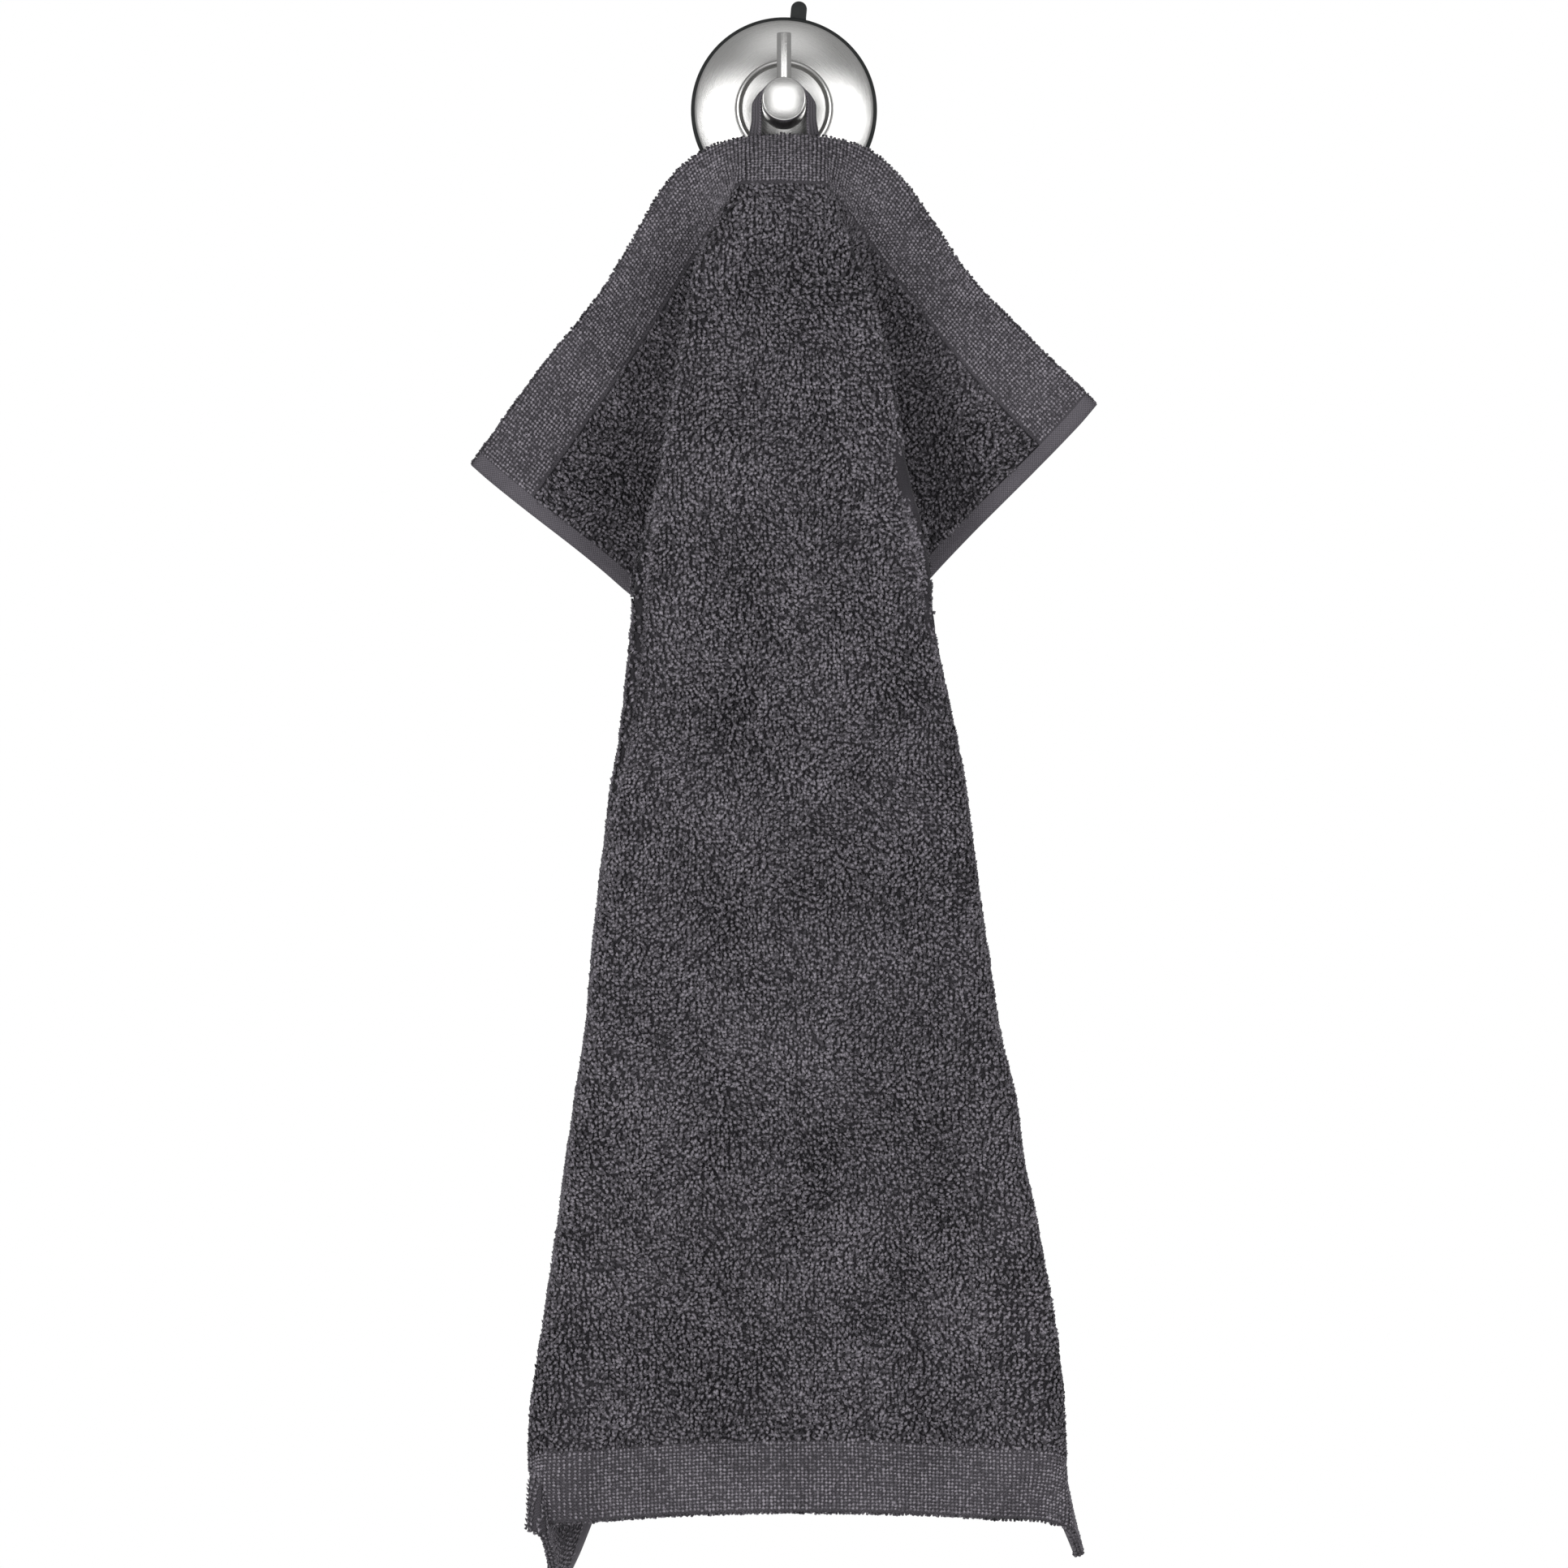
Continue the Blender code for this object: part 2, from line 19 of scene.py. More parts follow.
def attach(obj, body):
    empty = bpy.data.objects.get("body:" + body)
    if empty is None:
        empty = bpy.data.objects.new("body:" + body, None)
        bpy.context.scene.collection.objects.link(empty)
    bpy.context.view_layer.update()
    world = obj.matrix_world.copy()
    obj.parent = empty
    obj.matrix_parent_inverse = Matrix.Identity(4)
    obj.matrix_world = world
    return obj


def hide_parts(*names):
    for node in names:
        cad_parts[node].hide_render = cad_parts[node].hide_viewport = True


def show(name, data):
    """Makes an object of a mesh, a camera or a light, and puts it in the scene."""
    obj = bpy.data.objects.new(name, data)
    bpy.context.scene.collection.objects.link(obj)
    return obj


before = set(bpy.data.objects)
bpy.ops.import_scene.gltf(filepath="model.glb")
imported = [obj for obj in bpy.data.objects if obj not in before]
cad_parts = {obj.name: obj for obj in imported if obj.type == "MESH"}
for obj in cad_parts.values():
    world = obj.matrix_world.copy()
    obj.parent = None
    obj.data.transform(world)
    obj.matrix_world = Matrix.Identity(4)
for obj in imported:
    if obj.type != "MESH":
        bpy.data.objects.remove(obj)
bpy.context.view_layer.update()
print("solids:", ", ".join(sorted(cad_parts)))

# %% [markdown]
# ## The camera first
#
# The photograph looks straight at the wall from the height of the towel's middle. At the wall the square frame is
# 690 mm wide. A long lens from 2.4 m keeps the sides of the towel nearly parallel to the view, and the lens follows
# from the two distances and the sensor's width.

# %% Stand the camera in front
VIEW_DISTANCE = 2.400
VIEW_WIDTH = 0.690
VIEW_HEIGHT = -0.296

camera_data = bpy.data.cameras.new("front camera")
camera_data.sensor_width = 36
camera_data.lens = camera_data.sensor_width * VIEW_DISTANCE / VIEW_WIDTH
camera = show("front camera", camera_data)
camera.location = (0, -VIEW_DISTANCE, VIEW_HEIGHT)
camera.rotation_euler = (math.radians(90), 0, 0)
bpy.context.scene.camera = camera
print("lens, mm:", round(camera_data.lens, 1))

# %% [markdown]
# ## How the towel hangs
#
# The real towel is one woven rectangle of 400 by 600 mm. Its loop sits near the middle of one short edge, so the
# cloth beside the loop falls forward and sideways, and its sides fold back behind a long front panel. A cloth
# simulation could find such folds, but not these very folds. So the folds are drawn: a few lines are followed down
# the cloth, and each table gives the place of one line. Its columns are the distance down a warp thread (or along
# the top edge), then how far the line is out to its side, in front of the wall, and down from the hook.

# %% Tables of the fold lines
TOWEL_LENGTH = 0.600
LOOP_TO_LEFT = 0.209
LOOP_TO_RIGHT = 0.191
END_HEM = 0.030
SIDE_HEM = 0.007
WALL_GAP = 0.0045
MIDDLE_GAP = 0.005

TOP_LEFT = (  # along, out, front, down
    (0.000, 0.0000, 0.028, 0.0145),
    (0.027, 0.0270, 0.025, 0.0170),
    (0.052, 0.0480, 0.020, 0.0295),
    (0.080, 0.0625, 0.015, 0.0530),
    (0.108, 0.0767, 0.011, 0.0774),
    (0.153, 0.1050, 0.008, 0.1120),
    (0.209, 0.1370, 0.006, 0.1560),
)
TOP_RIGHT = (  # along, out, front, down
    (0.000, 0.0000, 0.028, 0.0145),
    (0.030, 0.0300, 0.025, 0.0170),
    (0.056, 0.0510, 0.020, 0.0310),
    (0.081, 0.0653, 0.015, 0.0513),
    (0.107, 0.0795, 0.011, 0.0730),
    (0.138, 0.1010, 0.009, 0.0947),
    (0.191, 0.1370, 0.006, 0.1293),
)
CENTRE = (  # thread, to the right, front
    (0.000, 0.000, 0.028),
    (0.030, 0.000, 0.048),
    (0.060, 0.000, 0.056),
    (0.094, 0.000, 0.060),
    (0.183, 0.000, 0.066),
    (0.320, 0.002, 0.073),
    (0.600, 0.005, 0.084),
)
RIDGE_LEFT = (  # thread, out, front, down
    (0.000, 0.0120, 0.0275, 0.0150),
    (0.030, 0.0190, 0.046, 0.0380),
    (0.060, 0.0345, 0.050, 0.0680),
    (0.094, 0.0420, 0.053, 0.1025),
    (0.140, 0.0505, 0.057, 0.1490),
    (0.183, 0.0580, 0.060, 0.1930),
    (0.240, 0.0645, 0.063, 0.2505),
    (0.320, 0.0755, 0.067, 0.3310),
    (0.440, 0.0910, 0.072, 0.4520),
    (0.570, 0.1070, 0.077, 0.5830),
    (0.600, 0.1080, 0.078, 0.6130),
)
RIDGE_RIGHT = (  # thread, out, front, down
    (0.000, 0.0120, 0.0275, 0.0150),
    (0.030, 0.0170, 0.046, 0.0380),
    (0.060, 0.0325, 0.050, 0.0680),
    (0.094, 0.0410, 0.053, 0.1020),
    (0.140, 0.0500, 0.057, 0.1480),
    (0.183, 0.0570, 0.060, 0.1910),
    (0.240, 0.0660, 0.063, 0.2490),
    (0.320, 0.0790, 0.066, 0.3300),
    (0.440, 0.0995, 0.069, 0.4510),
    (0.570, 0.1185, 0.072, 0.5820),
    (0.600, 0.1180, 0.072, 0.6120),
)
VALLEY_LEFT = (  # thread, weft, out, front, down
    (0.000, 0.035, 0.035, 0.024, 0.020),
    (0.030, 0.050, 0.040, 0.022, 0.055),
    (0.060, 0.080, 0.020, 0.015, 0.095),
    (0.094, 0.110, 0.008, 0.012, 0.140),
    (0.183, 0.175, 0.006, 0.014, 0.250),
    (0.320, 0.190, 0.020, 0.014, 0.400),
    (0.600, 0.200, 0.090, 0.010, 0.634),
)
VALLEY_RIGHT = (  # thread, weft, out, front, down
    (0.000, 0.035, 0.035, 0.024, 0.020),
    (0.030, 0.050, 0.040, 0.022, 0.055),
    (0.060, 0.076, 0.020, 0.015, 0.092),
    (0.094, 0.104, 0.008, 0.012, 0.134),
    (0.183, 0.160, 0.006, 0.014, 0.235),
    (0.320, 0.172, 0.030, 0.014, 0.385),
    (0.600, 0.183, 0.124, 0.010, 0.630),
)
SELVEDGE_LEFT = (  # thread, out, front, down
    (0.000, 0.137, 0.006, 0.156),
    (0.094, 0.064, 0.007, 0.215),
    (0.183, 0.008, 0.016, 0.280),
    (0.240, 0.005, 0.020, 0.335),
    (0.320, 0.018, 0.018, 0.412),
    (0.440, 0.050, 0.012, 0.515),
    (0.600, 0.094, 0.008, 0.638),
)
SELVEDGE_RIGHT = (  # thread, out, front, down
    (0.000, 0.137, 0.006, 0.1293),
    (0.094, 0.0715, 0.007, 0.197),
    (0.183, 0.008, 0.016, 0.262),
    (0.240, 0.006, 0.020, 0.318),
    (0.320, 0.025, 0.018, 0.392),
    (0.440, 0.070, 0.012, 0.500),
    (0.600, 0.127, 0.008, 0.632),
)
SIDES = (
    (-1, LOOP_TO_LEFT, TOP_LEFT, RIDGE_LEFT, VALLEY_LEFT, SELVEDGE_LEFT),
    (1, LOOP_TO_RIGHT, TOP_RIGHT, RIDGE_RIGHT, VALLEY_RIGHT, SELVEDGE_RIGHT),
)
print("fold lines:", sum(len(side) - 2 for side in SIDES) + 1)

# %% [markdown]
# ## Read a line between its rows
#
# A line should bend smoothly between the rows of its table without swinging past them. A monotone cubic does that:
# where the values stop rising, its slope is nought.

# %% Read the tables
def smooth_through(keys, values, at):
    widths = np.diff(keys)
    slopes = np.diff(values) / widths
    tangents = np.concatenate([slopes[:1], np.zeros(len(keys) - 2), slopes[-1:]])
    for i in range(1, len(keys) - 1):
        if slopes[i - 1] * slopes[i] > 0:
            before = 2 * widths[i] + widths[i - 1]
            after = widths[i] + 2 * widths[i - 1]
            tangents[i] = (before + after) / (before / slopes[i - 1] + after / slopes[i])
    k = np.clip(np.searchsorted(keys, at) - 1, 0, len(keys) - 2)
    u = (at - keys[k]) / widths[k]
    return (
        values[k] * (1 + 2 * u) * (1 - u) ** 2
        + widths[k] * tangents[k] * u * (1 - u) ** 2
        + values[k + 1] * u * u * (3 - 2 * u)
        + widths[k] * tangents[k + 1] * u * u * (u - 1)
    )


def read_table(rows, at):
    rows = np.array(rows)
    return np.stack([smooth_through(rows[:, 0], rows[:, c], at) for c in range(1, rows.shape[1])], -1)


def placed(out_front_down, side):
    return out_front_down * np.array([side, -1.0, -1.0])


print("the left ridge, halfway down, mm:", np.round(1000 * read_table(RIDGE_LEFT, np.array([0.3])))[0])

# %% [markdown]
# ## Draw the sheet between its lines
#
# Rows follow the weft, from the top hem to the bottom hem. Along a row the sheet runs straight from the middle
# thread to the ridge, to the valley behind it and to the selvedge, with two narrow columns where it turns. The
# result has sharp corners and is a little too long or short in places, which the next step mends.

# %% Draw one half of the towel
PANEL_COLUMNS = 4
BEND_STEPS = (0.005, 0.012)
BACK_COLUMNS = 11
HEM_ROWS = 3
BODY_ROWS = 48
TOP_FADE = 0.070
FLAP_LENGTH = 0.100
FLAP_WEFT = 0.090
PANEL_SLACK = 1.01


def thread_rows():
    body = np.linspace(END_HEM, TOWEL_LENGTH - END_HEM, BODY_ROWS + 1)
    top = np.linspace(0, END_HEM, HEM_ROWS + 1)[:-1]
    bottom = np.linspace(TOWEL_LENGTH - END_HEM, TOWEL_LENGTH, HEM_ROWS + 1)[1:]
    return np.concatenate([top, body, bottom])


def centre_line(threads):
    right_front = read_table(CENTRE, threads)
    forward = np.gradient(right_front[:, 1], threads)
    fall = np.sqrt(1 - forward**2)
    steps = (fall[1:] + fall[:-1]) / 2 * np.diff(threads)
    down = TOP_LEFT[0][3] + np.concatenate([[0], np.cumsum(steps)])
    return np.stack([right_front[:, 0], -right_front[:, 1], -down], -1)


def side_columns(ridge_weft, half_width):
    panel = ridge_weft * np.arange(1, PANEL_COLUMNS + 1) / PANEL_COLUMNS
    bend = ridge_weft + np.array(BEND_STEPS)
    back = np.linspace(bend[-1], half_width, BACK_COLUMNS + 1)[1:]
    return np.concatenate([panel, bend, back])


def draw_half(threads, centre, side, half_width, top, ridge, valley, selvedge):
    ridge_line = placed(read_table(ridge, threads), side)
    valley_rows = read_table(valley, threads)
    valley_line = placed(valley_rows[:, 1:], side)
    selvedge_line = placed(read_table(selvedge, threads), side)
    ridge_weft = PANEL_SLACK * np.linalg.norm(ridge_line - centre, axis=1)
    places, wefts = [], []
    for j in range(len(threads)):
        weft = side_columns(ridge_weft[j], half_width)
        keys = [0, ridge_weft[j], max(valley_rows[j, 0], ridge_weft[j] + BEND_STEPS[-1]), half_width]
        corners = np.array([centre[j], ridge_line[j], valley_line[j], selvedge_line[j]])
        row = np.stack([np.interp(weft, keys, corners[:, k]) for k in range(3)], -1)
        bulge = (weft[:PANEL_COLUMNS, None] / ridge_weft[j]) ** 2
        row[:PANEL_COLUMNS, 1:] = centre[j, 1:] + (ridge_line[j] - centre[j])[1:] * bulge
        places.append(row)
        wefts.append(weft)
    places, wefts = np.array(places), np.array(wefts)
    lift = placed(read_table(top, wefts[0]), side) - places[0]
    fade = np.clip(1 - threads / TOP_FADE, 0, 1) ** 2
    places += fade[:, None, None] * lift[None]
    return places, wefts


print("rows:", len(thread_rows()), "columns a side:", len(side_columns(0.05, LOOP_TO_LEFT)))

# %% [markdown]
# ## Even out the threads
#
# Cloth bends easily and hardly stretches. So each point is moved, many times over, until its distance to its
# neighbours is what was woven. Small steps against sharp bends make the folds round, the drawn places hold the
# sheet where the photograph shows it, and the layers behind the ridges are kept off the wall and off each other.

# %% Relax the drawn sheet
FLAP_DOWN = 0.212
FOOT_DOWN, FOOT_HEIGHT = 0.590, 0.040
FOOT_FLARE = {-1: -0.007, 1: 0.009}
HOLD_PANEL = 0.25
HOLD_TOP = 0.5
HOLD_FLAP = 0.01
HOLD_FLAP_EDGE = 0.15
HOLD_BACK_EDGE = 0.02
HOLD_CORNER = 0.3
ROUNDS = ((400, (0.10, 0.10, 0.05)), (300, (0.10, 0.05, 0.0)))
DIAGONAL_STIFFNESS = 0.25
OVERSHOOT = 1.6
HIDDEN_FROM = 0.045
SOFT_TOP = 0.020
SOFT_COLUMNS = 3
LEAST_EASE = 0.15


def holding(threads, wefts):
    hold = np.zeros(wefts.shape)
    hold[:, :PANEL_COLUMNS] = HOLD_PANEL
    flap = (threads[:, None] < FLAP_LENGTH) & (wefts > FLAP_WEFT)
    hold = np.maximum(hold, HOLD_FLAP * flap)
    hold[:, -1] = np.where(threads < FLAP_LENGTH, HOLD_FLAP_EDGE, HOLD_BACK_EDGE)
    hold[-1, -1] = HOLD_CORNER
    hold[0] = HOLD_TOP
    return hold


def thread_links(weft, thread):
    links = []
    every, but_last, but_first = slice(None), slice(None, -1), slice(1, None)
    pairs = (
        ((every, but_last), (every, but_first), 1.0),
        ((but_last, every), (but_first, every), 1.0),
        ((but_last, but_last), (but_first, but_first), DIAGONAL_STIFFNESS),
        ((but_first, but_last), (but_last, but_first), DIAGONAL_STIFFNESS),
    )
    for first, second, stiffness in pairs:
        woven = np.hypot(weft[second] - weft[first], thread[second] - thread[first])
        links.append((first, second, woven[..., None], stiffness))
    return links


def outline_at(down, sign):
    limit = np.ones(down.shape)
    for side, _, _, ridge, _, _ in SIDES:
        rows = np.array(ridge)
        reach = np.interp(down, rows[:, 3], rows[:, 1])
        reach += FOOT_FLARE[side] * np.clip((down - FOOT_DOWN) / FOOT_HEIGHT, 0, 1)
        limit = np.where((sign == side) & (down > FLAP_DOWN), reach, limit)
    return limit


def straighten(places, bends, ease):
    turn = np.zeros_like(places)
    for cells, stiffness in enumerate(bends, 1):
        inner, before, after = slice(cells, -cells), slice(None, -2 * cells), slice(2 * cells, None)
        middle = (places[:, before] + places[:, after]) / 2 - places[:, inner]
        step = stiffness * ease[:, inner, None] * middle
        turn[:, inner] += step
        turn[:, before] -= step / 2
        turn[:, after] -= step / 2
        middle = (places[before] + places[after]) / 2 - places[inner]
        step = stiffness * ease[inner, :, None] * middle
        turn[inner] += step
        turn[before] -= step / 2
        turn[after] -= step / 2
    return turn


def even_out(places, weft, thread, hold, bend_ease, hidden):
    drawn = places.copy()
    places = places.copy()
    links = thread_links(weft, thread)
    rows, columns = weft.shape
    sign = np.sign(weft)
    for passes, bends in ROUNDS:
        for _ in range(passes):
            move = np.zeros_like(places)
            count = np.zeros((rows, columns, 1))
            for first, second, woven, stiffness in links:
                across = places[second] - places[first]
                length = np.linalg.norm(across, axis=-1, keepdims=True)
                pull = stiffness * 0.5 * (length - woven) / np.maximum(length, 1e-7) * across
                move[first] += pull
                move[second] -= pull
                count[first] += stiffness
                count[second] += stiffness
            places += OVERSHOOT * move / count
            places += straighten(places, bends, bend_ease)
            places += hold[..., None] * (drawn - places)
            places[..., 1] = np.minimum(places[..., 1], -WALL_GAP)
            sideways = np.clip(sign * places[..., 0], MIDDLE_GAP, outline_at(-places[..., 2], sign))
            places[..., 0] = np.where(hidden, sign * sideways, places[..., 0])
    return places


def hang_towel():
    threads = thread_rows()
    centre = centre_line(threads)
    halves = []
    for side, half_width, top, ridge, valley, selvedge in SIDES:
        places, wefts = draw_half(threads, centre, side, half_width, top, ridge, valley, selvedge)
        halves.append((places, wefts, holding(threads, wefts)))
    left, right = halves
    places = np.concatenate([left[0][:, ::-1], centre[:, None], right[0]], 1)
    weft = np.concatenate([-left[1][:, ::-1], np.zeros((len(threads), 1)), right[1]], 1)
    hold = np.concatenate([left[2][:, ::-1], np.full((len(threads), 1), HOLD_PANEL), right[2]], 1)
    thread = np.repeat(threads[:, None], weft.shape[1], 1)
    column = np.abs(np.arange(weft.shape[1]) - weft.shape[1] // 2)
    hidden = (column > PANEL_COLUMNS)[None] & (thread > HIDDEN_FROM)
    near_ridge = np.abs(column - PANEL_COLUMNS)[None]
    bend_ease = np.where(thread < SOFT_TOP, 1.0, np.clip(near_ridge / SOFT_COLUMNS, LEAST_EASE, 1.0))
    return even_out(places, weft, thread, hold, bend_ease, hidden), weft, threads


coarse_places, coarse_weft, coarse_threads = hang_towel()
print("points of the coarse sheet:", coarse_weft.size)

# %% [markdown]
# ## One millimetre cloth
#
# The coarse sheet has cells of about a centimetre. Everything that follows, from the base cloth to each loop of the
# pile, has to find its place on a smooth surface, so the sheet is read once at every millimetre of the weave. Each
# curve passes through the coarse points, and its slope at a point is weighed by the gaps on both sides, which keeps
# the narrow columns at the ridges from making it swing.

# %% Read the sheet at every millimetre
LATTICE_STEP = 0.001


def curve_through(keys, values, at):
    gaps = np.diff(keys)[:, None]
    slopes = np.diff(values, axis=0) / gaps
    inner = (slopes[:-1] * gaps[1:] + slopes[1:] * gaps[:-1]) / (gaps[:-1] + gaps[1:])
    tangents = np.concatenate([slopes[:1], inner, slopes[-1:]])
    k = np.clip(np.searchsorted(keys, at) - 1, 0, len(keys) - 2)
    u = ((at - keys[k]) / gaps[k, 0])[:, None]
    return (
        values[k] * (1 + 2 * u) * (1 - u) ** 2
        + gaps[k] * tangents[k] * u * (1 - u) ** 2
        + values[k + 1] * u * u * (3 - 2 * u)
        + gaps[k] * tangents[k + 1] * u * u * (u - 1)
    )


lattice_weft = np.arange(-LOOP_TO_LEFT, LOOP_TO_RIGHT + 1e-9, LATTICE_STEP)
lattice_thread = np.arange(0, TOWEL_LENGTH + 1e-9, LATTICE_STEP)
across_rows = np.array([curve_through(w, p, lattice_weft) for w, p in zip(coarse_weft, coarse_places)])
flat_rows = across_rows.reshape(len(coarse_threads), -1)
lattice = curve_through(coarse_threads, flat_rows, lattice_thread).reshape(len(lattice_thread), -1, 3)
print("points of the fine sheet:", lattice.shape[:2])

# %% [markdown]
# ## Soft unevenness
#
# No cloth hangs as smoothly as a drawn one. A slow random wave, worked out from a small grid of random numbers,
# gives the panel its faint dents. It fades out towards the top hem, which the tape pulls straight.

# %% Dent the sheet
DENTS = ((0.055, 0.0016, 11), (0.026, 0.0007, 12))  # size of a dent, its depth, seed
CALM_TOP = 0.060


def soft_noise(wefts, threads, cell, seed):
    """Smooth random values from -1 to 1 over the cloth, about one cell apart."""
    size = (int(TOWEL_LENGTH / cell) + 4, int((LOOP_TO_LEFT + LOOP_TO_RIGHT) / cell) + 4)
    grid = np.random.default_rng(seed).uniform(-1, 1, size)
    u = np.clip((wefts + LOOP_TO_LEFT) / cell + 1, 0, size[1] - 1.001)
    v = np.clip(threads / cell + 1, 0, size[0] - 1.001)
    i, j = v.astype(int), u.astype(int)
    a, b = v - i, u - j
    a, b = a * a * (3 - 2 * a), b * b * (3 - 2 * b)
    upper = grid[i, j] * (1 - b) + grid[i, j + 1] * b
    lower = grid[i + 1, j] * (1 - b) + grid[i + 1, j + 1] * b
    return upper * (1 - a) + lower * a


def towards_back(sheet):
    """Unit normals of the sheet, on the side that faces the wall at the panel."""
    along_weft = np.gradient(sheet, axis=1)
    along_thread = np.gradient(sheet, axis=0)
    normal = np.cross(along_weft, along_thread)
    return normal / np.linalg.norm(normal, axis=-1, keepdims=True)


weft_grid, thread_grid = np.meshgrid(lattice_weft, lattice_thread)
dent = sum(depth * soft_noise(weft_grid, thread_grid, cell, seed) for cell, depth, seed in DENTS)
dent *= np.clip(thread_grid / CALM_TOP, 0, 1)
lattice += towards_back(lattice) * dent[..., None]
back_normals = towards_back(lattice)
print("deepest dent, mm:", round(1000 * float(np.abs(dent).max()), 2))

# %% [markdown]
# ## The ground cloth
#
# Under the pile lies the ground weave, about 2 mm thick. It is a grid from bmesh whose points are set on the fine
# sheet, given its thickness by Solidify. A vertex group makes it thicker where the cloth is turned over: at the two
# end hems and at the plain side hems. Its UV map holds the weave itself: across the cloth and along a thread, in
# metres, so that any pattern follows the folds.

# %% Weave the ground cloth
GROUND_COLUMNS = 112
GROUND_HEM_ROWS = 9
GROUND_BODY_ROWS = 136
THICKEST = 0.0034
GROUND_SHARE, END_HEM_SHARE, SIDE_HEM_SHARE = 0.62, 0.72, 0.92  # of the greatest thickness


def on_sheet(wefts, threads, field=None):
    """The fine sheet, or another field of the same size, at distances across and along the cloth."""
    field = lattice if field is None else field
    u = np.clip((wefts + LOOP_TO_LEFT) / LATTICE_STEP, 0, len(lattice_weft) - 1.001)
    v = np.clip(threads / LATTICE_STEP, 0, len(lattice_thread) - 1.001)
    j, i = u.astype(int), v.astype(int)
    b, a = (u - j)[..., None], (v - i)[..., None]
    upper = field[i, j] * (1 - b) + field[i, j + 1] * b
    lower = field[i + 1, j] * (1 - b) + field[i + 1, j + 1] * b
    return upper * (1 - a) + lower * a


ground_wefts = np.linspace(-LOOP_TO_LEFT, LOOP_TO_RIGHT, GROUND_COLUMNS)
ground_threads = np.concatenate([
    np.linspace(0, END_HEM, GROUND_HEM_ROWS + 1)[:-1],
    np.linspace(END_HEM, TOWEL_LENGTH - END_HEM, GROUND_BODY_ROWS + 1),
    np.linspace(TOWEL_LENGTH - END_HEM, TOWEL_LENGTH, GROUND_HEM_ROWS + 1)[1:],
])
ground_u, ground_v = np.meshgrid(ground_wefts, ground_threads)
ground_points = on_sheet(ground_u, ground_v)

ground_mesh = bpy.data.meshes.new("ground cloth")
bm = bmesh.new()
bmesh.ops.create_grid(bm, x_segments=GROUND_COLUMNS - 1, y_segments=len(ground_threads) - 1, size=1)
bm.verts.ensure_lookup_table()
for vertex, place in zip(bm.verts, ground_points.reshape(-1, 3)):
    vertex.co = place
bmesh.ops.reverse_faces(bm, faces=bm.faces)
weave_map = bm.loops.layers.uv.new("weave")
weave = np.stack([ground_u + LOOP_TO_LEFT, ground_v], -1).reshape(-1, 2)
for face in bm.faces:
    face.smooth = True
    for corner in face.loops:
        corner[weave_map].uv = weave[corner.vert.index]
bm.to_mesh(ground_mesh)
bm.free()
ground = show("towel_ground_cloth", ground_mesh)

share = np.full(ground_u.shape, GROUND_SHARE)
share[(ground_v <= END_HEM) | (ground_v >= TOWEL_LENGTH - END_HEM)] = END_HEM_SHARE
at_side = np.minimum(ground_u + LOOP_TO_LEFT, LOOP_TO_RIGHT - ground_u) < SIDE_HEM
share[at_side] = SIDE_HEM_SHARE
thickness_group = ground.vertex_groups.new(name="thickness")
for value in np.unique(share):
    thickness_group.add([int(i) for i in np.flatnonzero(share.reshape(-1) == value)], float(value), "REPLACE")
solidify = ground.modifiers.new("cloth thickness", "SOLIDIFY")
solidify.thickness = THICKEST
solidify.offset = 0
solidify.vertex_group = thickness_group.name
print("faces of the ground cloth:", len(ground_mesh.polygons))

# %% [markdown]
# ## One loop of the pile
#
# Terry is warp yarn left standing in loops. There are over a hundred thousand on this towel, so one loop may only
# have eight faces. A cone from bmesh does it: it stands on its point, which is the root, and its wide end, a little
# domed, is the bend of the loop. Each point also gets a depth, from 0 in the middle of the bend over a half at its
# rim to 1 at the root. The material paints light and shade with it: light yarn on the bend, and painted shade down
# between the loops.

# %% Shape the loops
RIM_HEIGHT = 0.78


def knot(sides):
    """Points (across, forward, along) and faces of a closed cone on its point, with the depth of each point."""
    bm = bmesh.new()
    bmesh.ops.create_cone(bm, cap_ends=True, cap_tris=True, segments=sides, radius1=0, radius2=0.5, depth=1)
    bmesh.ops.remove_doubles(bm, verts=bm.verts, dist=1e-5)
    bmesh.ops.recalc_face_normals(bm, faces=bm.faces)
    points, depth = [], []
    for vertex in bm.verts:
        x, y, z = vertex.co
        if z < 0:
            points.append((0, 0, 0))
            depth.append(1.0)
        elif math.hypot(x, y) < 1e-4:
            points.append((0, 0, 1))
            depth.append(0.0)
        else:
            points.append((x, y, RIM_HEIGHT))
            depth.append(0.5)
    faces = [[vertex.index for vertex in face.verts] for face in bm.faces]
    bm.free()
    return np.array(points, float), np.array(faces), np.array(depth)


FRONT_LOOP = knot(4)
BACK_LOOP = knot(3)
print("triangles of a loop: front", len(FRONT_LOOP[1]), "back", len(BACK_LOOP[1]))

# %% [markdown]
# ## Plant the pile
#
# What makes terry look alive is the way that its loops lean: neighbours lean together, in patches of a centimetre or
# two, and on the whole they lean downwards. So the lean's direction and strength come from the same soft noise as
# the dents, plus a share of chance. Each bend is longer the way it leans than across, as a loop of yarn is. All
# loops of a piece are worked out in one go as arrays and joined in one mesh, far quicker than copying objects.

# %% Plant loops on the cloth
ROOT_BELOW = 0.0004
TURN_CELLS = (0.030, 0.011)
PATCH_CELLS = (0.018, 0.006)
PATCH_SWING = 0.20


